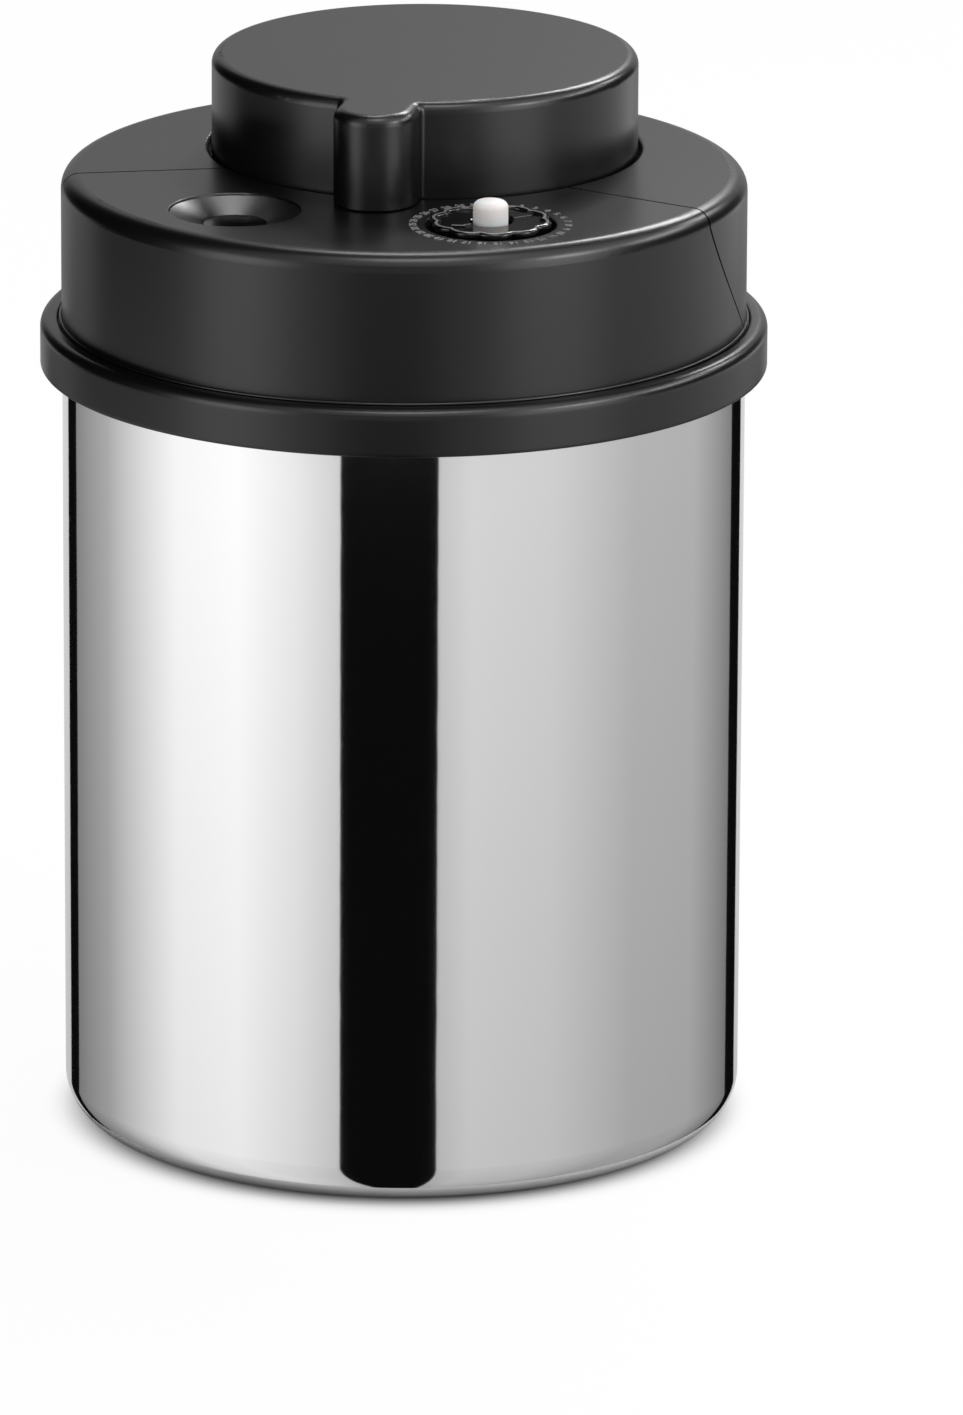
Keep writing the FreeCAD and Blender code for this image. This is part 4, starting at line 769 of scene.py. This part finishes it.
@dataclass
class DateRing(Eye):
    """Raised day numbers around the dial."""

    days: int = 31
    radius: float = 13.6
    figure: float = 1.9
    rise: float = 0.15

    def one_number(
        self, tree: bpy.types.NodeTree, sizes: bpy.types.NodeOutputs, index: bpy.types.NodeSocket
    ) -> bpy.types.NodeSocket:
        """Add the nodes that write one number and turn it to its place on the ring.

        Args:
            tree: the tree that gets the nodes.
            sizes: the tree's named inputs.
            index: which point of the circle it is, from zero.

        Returns:
            The socket with the number's mesh.
        """
        day = add_node(tree, "ShaderNodeMath", {0: index, 1: 1.0}, operation="ADD")
        text = add_node(tree, "FunctionNodeValueToString", {"Value": day.outputs[0]})
        figures = add_node(
            tree,
            "GeometryNodeStringToCurves",
            {"String": text.outputs["String"], "Size": sizes["Figure Size"]},
            align_x="CENTER",
            align_y="MIDDLE",
        )
        curves = add_node(
            tree, "GeometryNodeRealizeInstances", {"Geometry": figures.outputs["Curve Instances"]}
        )
        flat = add_node(tree, "GeometryNodeFillCurve", {"Curve": curves.outputs["Geometry"]})
        solid = add_node(
            tree,
            "GeometryNodeExtrudeMesh",
            {"Mesh": flat.outputs["Mesh"], "Offset Scale": sizes["Figure Height"], "Individual": False},
        )
        outwards = add_node(tree, "ShaderNodeCombineXYZ", {"Y": sizes["Ring Radius"]})
        upright = add_node(
            tree,
            "GeometryNodeTransform",
            {"Geometry": solid.outputs["Mesh"], "Translation": outwards.outputs["Vector"]},
        )
        step = add_node(tree, "ShaderNodeMath", {0: -2 * math.pi, 1: sizes["Days"]}, operation="DIVIDE")
        angle = add_node(tree, "ShaderNodeMath", {0: index, 1: step.outputs[0]}, operation="MULTIPLY")
        turn = add_node(tree, "ShaderNodeCombineXYZ", {"Z": angle.outputs[0]})
        turned = add_node(
            tree,
            "GeometryNodeTransform",
            {"Geometry": upright.outputs["Geometry"], "Rotation": turn.outputs["Vector"]},
        )
        return turned.outputs["Geometry"]

    def tree(self, material: bpy.types.Material) -> bpy.types.NodeTree:
        """Make the tree that writes one number at each point of a circle.

        Args:
            material: the grey painted on the figures, a painted highlight.

        Returns:
            The tree, with its sizes as named inputs.
        """
        tree = bpy.data.node_groups.new("day_numbers", "GeometryNodeTree")
        for name, kind in (
            ("Days", "NodeSocketInt"),
            ("Ring Radius", "NodeSocketFloat"),
            ("Figure Size", "NodeSocketFloat"),
            ("Figure Height", "NodeSocketFloat"),
            ("Centre", "NodeSocketVector"),
        ):
            tree.interface.new_socket(name, in_out="INPUT", socket_type=kind)
        tree.interface.new_socket("Geometry", in_out="OUTPUT", socket_type="NodeSocketGeometry")
        sizes = add_node(tree, "NodeGroupInput").outputs
        circle = add_node(
            tree, "GeometryNodeMeshCircle", {"Vertices": sizes["Days"], "Radius": sizes["Ring Radius"]}
        )
        each = add_node(tree, "GeometryNodeForeachGeometryElementInput")
        written = add_node(tree, "GeometryNodeForeachGeometryElementOutput")
        each.pair_with_output(written)
        tree.links.new(circle.outputs["Mesh"], each.inputs["Geometry"])
        number = self.one_number(tree, sizes, each.outputs["Index"])
        tree.links.new(number, written.inputs["Geometry"])
        # The last output but one is the joined geometry; the last is the empty socket for new items
        moved = add_node(
            tree,
            "GeometryNodeTransform",
            {"Geometry": written.outputs[-2], "Translation": sizes["Centre"]},
        )
        real = add_node(tree, "GeometryNodeRealizeInstances", {"Geometry": moved.outputs["Geometry"]})
        # The figures take the grey: a painted highlight
        painted_figures = add_node(
            tree, "GeometryNodeSetMaterial", {"Geometry": real.outputs["Geometry"], "Material": material}
        )
        add_node(tree, "NodeGroupOutput", {"Geometry": painted_figures.outputs["Geometry"]})
        return tree

    def build(self) -> None:
        """Write the numbers and turn them into a plain mesh."""
        tree = self.tree(FIGURE_PAINTED_GLINT.make())
        writer = bpy.data.objects.new("day_number_writer", bpy.data.meshes.new("day_number_writer"))
        bpy.context.scene.collection.objects.link(writer)
        modifier = writer.modifiers.new("Numbers", "NODES")
        modifier.node_group = tree
        values = {
            "Days": self.days,
            "Ring Radius": self.radius * MM,
            "Figure Size": self.figure * MM,
            "Figure Height": self.rise * MM,
            "Centre": tuple(self.at(0.0, 0.0, self.lid_top)),
        }
        for item in tree.interface.items_tree:
            if item.in_out == "INPUT":
                modifier[item.identifier] = values[item.name]
        drawn = writer.evaluated_get(bpy.context.evaluated_depsgraph_get())
        mesh = bpy.data.meshes.new_from_object(drawn)
        mesh.name = "day_numbers"
        bpy.data.objects.remove(writer)
        numbers = bpy.data.objects.new("day_numbers", mesh)
        bpy.context.scene.collection.objects.link(numbers)
        hand_over(numbers, Body.LID, Slot.SATIN_BLACK)


@dataclass
class CoilSpring:
    """Spring under the piece that presses on it, copied as the CAD coil stands."""

    node: bpy.types.Object
    presser: Body
    wire: float = 0.6

    def build(self) -> None:
        """Copy the CAD coil and merge its corners."""
        name = self.node.name
        work = bmesh.new()
        work.from_mesh(self.node.data)
        merge(work)
        for face in work.faces:
            face.smooth = True
            face.material_index = 0
        coil = placed(f"{name}_coil", work, [ZINC_PLATE.make()])
        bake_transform(coil)
        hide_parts(name)
        faces = len(coil.data.polygons)
        LOG.info("%s: %d faces, shortens with %s", coil.name, faces, self.presser.value)


@dataclass(frozen=True)
class Cloth:
    """A cloth of the light tent.

    Its columns are pairs of a heading from the camera and the light there. Its rows are pairs of a
    height above the horizon and the share of that light. A cloth that lights also sheds light on dull
    surfaces; the others are only mirrored.
    """

    columns: tuple[Point, ...]
    rows: tuple[Point, ...]
    radius: float = 1200.0
    lights: bool = False


@dataclass(frozen=True)
class Lamp:
    """A soft box, placed by its heading from the camera and its height above the horizon."""

    name: str
    heading: float
    elevation: float
    width: float
    height: float
    power: float
    distance: float = 1100.0


@dataclass
class Studio:
    """Camera, floor, light tent, lamps and sky.

    The floor is white paper that glows for the camera. In a round under the jar, where its shade lies,
    the glow fades and the paper is painted grey: a painted shadow, which the steel mirrors too.
    """

    camera_place: tuple[float, float, float] = (450.60, -2098.91, 722.71)
    view_line: tuple[float, float, float] = (-0.19474, 0.93730, -0.28906)
    roll: float = 0.283
    lens: float = 316.1
    sensor: float = 36.0
    heading: float = 12.1
    target: tuple[float, float, float] = (0.0, 0.0, 100.0)
    ambient: float = 0.4
    floor_level: float = -0.2
    floor_reach: float = 6000.0
    floor_steps: int = 96
    shaded_floor: float = 61.0
    shade_start: float = 53.0
    shade_end: float = 65.5
    floor_glow: float = 0.94
    # Grey painted on the paper under the jar: a painted shadow
    painted_shadow_paper: str = "#6E6E6E"
    white_paper: str = "#F2F2F2"
    lamps: tuple[Lamp, ...] = (
        Lamp("front_top_box", 8.0, 72.0, 400.0, 260.0, 1.9),
        Lamp("right_box", 60.0, 34.0, 300.0, 200.0, 2.3),
        Lamp("high_back_box", 180.0, 62.0, 260.0, 300.0, 1.8),
        Lamp("low_back_box", 161.0, 38.0, 320.0, 160.0, 3.2),
        Lamp("right_strip_box", 100.0, 31.0, 500.0, 120.0, 2.0),
        Lamp("right_back_box", 130.0, 31.0, 200.0, 160.0, 1.2),
    )

    def cloths(self) -> list[Cloth]:
        """The tent's cloths, in the order in which they hang."""
        # Sweeps that the steel's wall mirrors, with black gaps between them
        below = ((-12.5, 1.0), (-24.0, 0.76), (-60.0, 0.66), (-77.0, 0.5), (-89.0, 0.25))
        left = ((-143.0, 0.28), (-117.0, 0.52), (-80.6, 1.24))
        left += ((-56.0, 1.32), (-34.6, 1.08), (-20.4, 0.84))
        right = ((11.4, 0.74), (22.4, 0.88), (50.4, 0.82))
        right += ((82.5, 0.6), (113.4, 0.57), (144.0, 0.25))
        behind = ((158.0, 0.75), (205.5, 0.75))
        # Two bright boxes that light the lid's wall from both sides of the camera
        box = ((-12.0, 0.6), (-4.0, 0.75), (2.0, 1.0), (24.0, 1.0), (32.0, 0.3))
        left_box = ((-74.0, 0.6), (-62.0, 2.9), (-46.0, 2.9), (-34.0, 0.6))
        right_box = ((28.0, 0.5), (38.0, 2.9), (60.0, 2.9), (76.0, 0.5))
        # Dim cloths that fill the lid's wall between and beside the boxes
        low = ((-12.0, 1.0), (-3.0, 1.0))
        right_fill = ((76.0, 1.1), (150.0, 1.1))
        left_fill = ((205.0, 0.6), (238.0, 0.5))
        front_fill = ((-34.0, 0.5), (28.0, 0.5))
        front_rows = ((-12.0, 1.0), (24.0, 1.0))
        # A wall behind for the lid's flat tops, and a ceiling for its edges
        wall = ((150.0, 0.47), (205.0, 0.47))
        wall_rows = ((-12.0, 1.0), (30.0, 1.0), (45.0, 0.6), (85.0, 0.6))
        ceiling = ((-75.0, 0.6), (0.0, 1.1), (60.0, 1.5), (115.0, 1.0))
        ceiling_rows = ((32.0, 1.0), (80.0, 1.0))
        # A nearly black dome outside all the others, which keeps the white sky out of the mirrors
        dome = ((-180.0, 0.004), (180.0, 0.004))
        dome_rows = ((-89.0, 1.0), (89.0, 1.0))
        return [
            Cloth(left, below),
            Cloth(right, below),
            Cloth(behind, below),
            Cloth(left_box, box, lights=True),
            Cloth(right_box, box, lights=True),
            Cloth(right_fill, low),
            Cloth(left_fill, low),
            Cloth(front_fill, front_rows),
            Cloth(wall, wall_rows),
            Cloth(ceiling, ceiling_rows),
            Cloth(dome, dome_rows, 1300.0),
        ]

    def place(self, heading: float, elevation: float, distance: float) -> Vector:
        """A place around the target, in metres.

        Args:
            heading: its heading from the camera.
            elevation: its height above the horizon, as an angle.
            distance: how far from the target it is.

        Returns:
            The place.
        """
        turn, rise = math.radians(self.heading + heading), math.radians(elevation)
        level = math.cos(rise)
        direction = Vector((math.sin(turn) * level, -math.cos(turn) * level, math.sin(rise)))
        return (Vector(self.target) + direction * distance) * MM

    def build(self) -> None:
        """Set up everything around the object."""
        self.camera()
        self.floor()
        self.tent()
        for lamp in self.lamps:
            self.lamp(lamp)
        self.sky()
        bpy.context.scene.view_settings.view_transform = "Standard"

    def camera(self) -> None:
        """Place the camera where the photograph was taken from."""
        data = bpy.data.cameras.new("camera")
        data.sensor_fit = "VERTICAL"
        data.sensor_height = self.sensor
        data.lens = self.lens
        camera = bpy.data.objects.new("camera", data)
        camera.location = Vector(self.camera_place) * MM
        aim = Vector(self.view_line).to_track_quat("-Z", "Y")
        camera.rotation_mode = "QUATERNION"
        camera.rotation_quaternion = aim @ Quaternion((0.0, 0.0, 1.0), math.radians(self.roll))
        bpy.context.scene.collection.objects.link(camera)
        bpy.context.scene.camera = camera

    def paper(self) -> bpy.types.Material:
        """White paper that glows for the camera, fading under the jar to paper painted grey: a painted
        shadow.
        """
        paper = bpy.data.materials.new("white_floor_painted_shadow")
        paper.use_nodes = True
        tree = paper.node_tree
        tree.nodes.clear()
        glow = add_node(tree, "ShaderNodeEmission", {"Strength": 1.0})
        place = add_node(tree, "ShaderNodeTexCoord").outputs["Object"]
        away = add_node(tree, "ShaderNodeVectorMath", {0: place}, operation="LENGTH")
        clear = add_node(
            tree,
            "ShaderNodeMapRange",
            {
                "Value": away.outputs["Value"],
                "From Min": self.shade_start * MM,
                "From Max": self.shade_end * MM,
                "To Max": self.floor_glow,
            },
            interpolation_type="SMOOTHSTEP",
        ).outputs["Result"]
        # The paper is painted grey under the jar: a painted shadow, which the steel mirrors too
        grey = add_node(
            tree,
            "ShaderNodeMix",
            {0: clear, 6: linear(self.painted_shadow_paper), 7: linear(self.white_paper)},
            data_type="RGBA",
        )
        matt = add_node(tree, "ShaderNodeBsdfDiffuse", {"Color": grey.outputs[2]})
        seen = add_node(tree, "ShaderNodeLightPath").outputs["Is Camera Ray"]
        share = add_node(tree, "ShaderNodeMath", {0: seen, 1: clear}, operation="MULTIPLY")
        mixed = add_node(
            tree,
            "ShaderNodeMixShader",
            {0: share.outputs[0], 1: matt.outputs["BSDF"], 2: glow.outputs["Emission"]},
        )
        add_node(tree, "ShaderNodeOutputMaterial", {"Surface": mixed.outputs["Shader"]})
        return paper

    def floor(self) -> None:
        """Lay the floor; the steel mirrors only the part under the jar and, past that, the tent."""
        paper = self.paper()
        level = self.floor_level
        shaded = [(0.0, level), (self.shaded_floor, level)]
        wide = [(self.shaded_floor, level), (self.floor_reach, level)]
        under = skin("floor_under_jar", turned_rings(shaded, self.floor_steps), [paper], closed=False)
        around = skin("floor_around", turned_rings(wide, self.floor_steps), [paper], closed=False)
        around.visible_glossy = False

    def tent(self) -> None:
        """Hang the cloths, each with its light as an attribute of its points."""
        material = bpy.data.materials.new("tent_cloth")
        material.use_nodes = True
        tree = material.node_tree
        tree.nodes.clear()
        level = add_node(tree, "ShaderNodeAttribute", attribute_name="light")
        glow = add_node(tree, "ShaderNodeEmission", {"Strength": level.outputs["Fac"]})
        add_node(tree, "ShaderNodeOutputMaterial", {"Surface": glow.outputs["Emission"]})
        for number, cloth in enumerate(self.cloths()):
            self.hang(f"tent_cloth_{number}", cloth, material)

    def hang(self, name: str, cloth: Cloth, material: bpy.types.Material) -> None:
        """Hang a cloth that only shiny surfaces see, and dull ones too if it lights.

        Args:
            name: the cloth's name.
            cloth: its place and its light.
            material: what all the cloths are made of.
        """
        columns, rows = finer(cloth.columns), finer(cloth.rows)
        vertices, levels, faces = [], [], []
        for heading, light in columns:
            for elevation, share in rows:
                vertices.append(self.place(heading, elevation, cloth.radius))
                levels.append(light * share)
        for column in range(len(columns) - 1):
            for row in range(len(rows) - 1):
                corner = column * len(rows) + row
                faces.append((corner, corner + 1, corner + 1 + len(rows), corner + len(rows)))
        mesh = bpy.data.meshes.new(name)
        mesh.from_pydata(vertices, [], faces)
        mesh.materials.append(material)
        mesh.attributes.new("light", "FLOAT", "POINT").data.foreach_set("value", levels)
        card = bpy.data.objects.new(name, mesh)
        bpy.context.scene.collection.objects.link(card)
        card.visible_camera = False
        card.visible_diffuse = cloth.lights
        card.visible_transmission = False
        card.visible_shadow = False

    def lamp(self, lamp: Lamp) -> None:
        """Hang a soft box and aim it at the object.

        Args:
            lamp: where it hangs, its size and its power.
        """
        data = bpy.data.lights.new(lamp.name, "AREA")
        data.shape = "RECTANGLE"
        data.size = lamp.width * MM
        data.size_y = lamp.height * MM
        data.energy = lamp.power
        light = bpy.data.objects.new(lamp.name, data)
        light.location = self.place(lamp.heading, lamp.elevation, lamp.distance)
        aim = Vector(self.target) * MM - light.location
        light.rotation_mode = "QUATERNION"
        light.rotation_quaternion = aim.to_track_quat("-Z", "Y")
        bpy.context.scene.collection.objects.link(light)

    def sky(self) -> None:
        """White where it is seen or mirrored, dimmer as light on the object."""
        world = bpy.data.worlds.new("studio")
        world.use_nodes = True
        tree = world.node_tree
        tree.nodes.clear()
        ray = add_node(tree, "ShaderNodeLightPath").outputs
        shown = ray["Is Camera Ray"]
        for kind in ("Is Glossy Ray", "Is Transmission Ray"):
            either = add_node(tree, "ShaderNodeMath", {0: shown, 1: ray[kind]}, operation="MAXIMUM")
            shown = either.outputs[0]
        strength = add_node(
            tree, "ShaderNodeMapRange", {"Value": shown, "To Min": self.ambient, "To Max": 1.0}
        )
        white = add_node(
            tree,
            "ShaderNodeBackground",
            {"Color": (1.0, 1.0, 1.0, 1.0), "Strength": strength.outputs["Result"]},
        )
        add_node(tree, "ShaderNodeOutputWorld", {"Surface": white.outputs["Background"]})
        bpy.context.scene.world = world


@dataclass
class CadDress:
    """Finishes of the CAD nodes that show as they are."""

    nodes: dict[str, bpy.types.Object]

    def dress(self, finish: Finish, *names: str) -> None:
        """Give nodes a finish.

        Args:
            finish: what they are made of.
            *names: the nodes.
        """
        material = finish.make()
        for name in names:
            for slot in self.nodes[name].material_slots:
                slot.material = material
            LOG.info("%s: dressed in %s", name, finish.name)

    def build(self) -> None:
        """Dress every node that no new piece stands for."""
        self.dress(SATIN_BLACK, "lid_base", "front_cover", "rear_cover", "turn_knob", "filter_cap")
        self.dress(GLOSS_BLACK, "indicator_button")
        self.dress(ACETAL, "cam_sleeve", "knob_glide_ring", "piston", "dial_clip")
        self.dress(PUMP_ABS, "pump_cover", "pump_cylinder")
        self.dress(BLACK_RUBBER, "cylinder_seal", "piston_seal", "indicator_seal", "release_seal")
        self.dress(CLEAR_SILICONE, "lid_gasket", "exhaust_valve", "inlet_valve")
        self.dress(FILTER_FELT, "intake_filter")
        self.dress(ZINC_PLATE, "cam_sleeve_screws", "pump_cover_screws", "follower_pin", "release_clip")


def main() -> None:
    """Load the frame, and build every piece and the studio."""
    logging.basicConfig(level=logging.INFO, format="%(message)s")
    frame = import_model()
    nodes = frame["nodes"]
    assemblies = (
        CadDress(nodes),
        SteelJar(),
        FlangeBand(),
        ReleasePin(),
        DateDial(),
        DateRing(),
        CoilSpring(nodes["indicator_spring"], Body.INDICATOR),
        CoilSpring(nodes["release_spring"], Body.RELEASE),
        Studio(),
    )
    for assembly in assemblies:
        assembly.build()


if __name__ == "__main__":
    main()
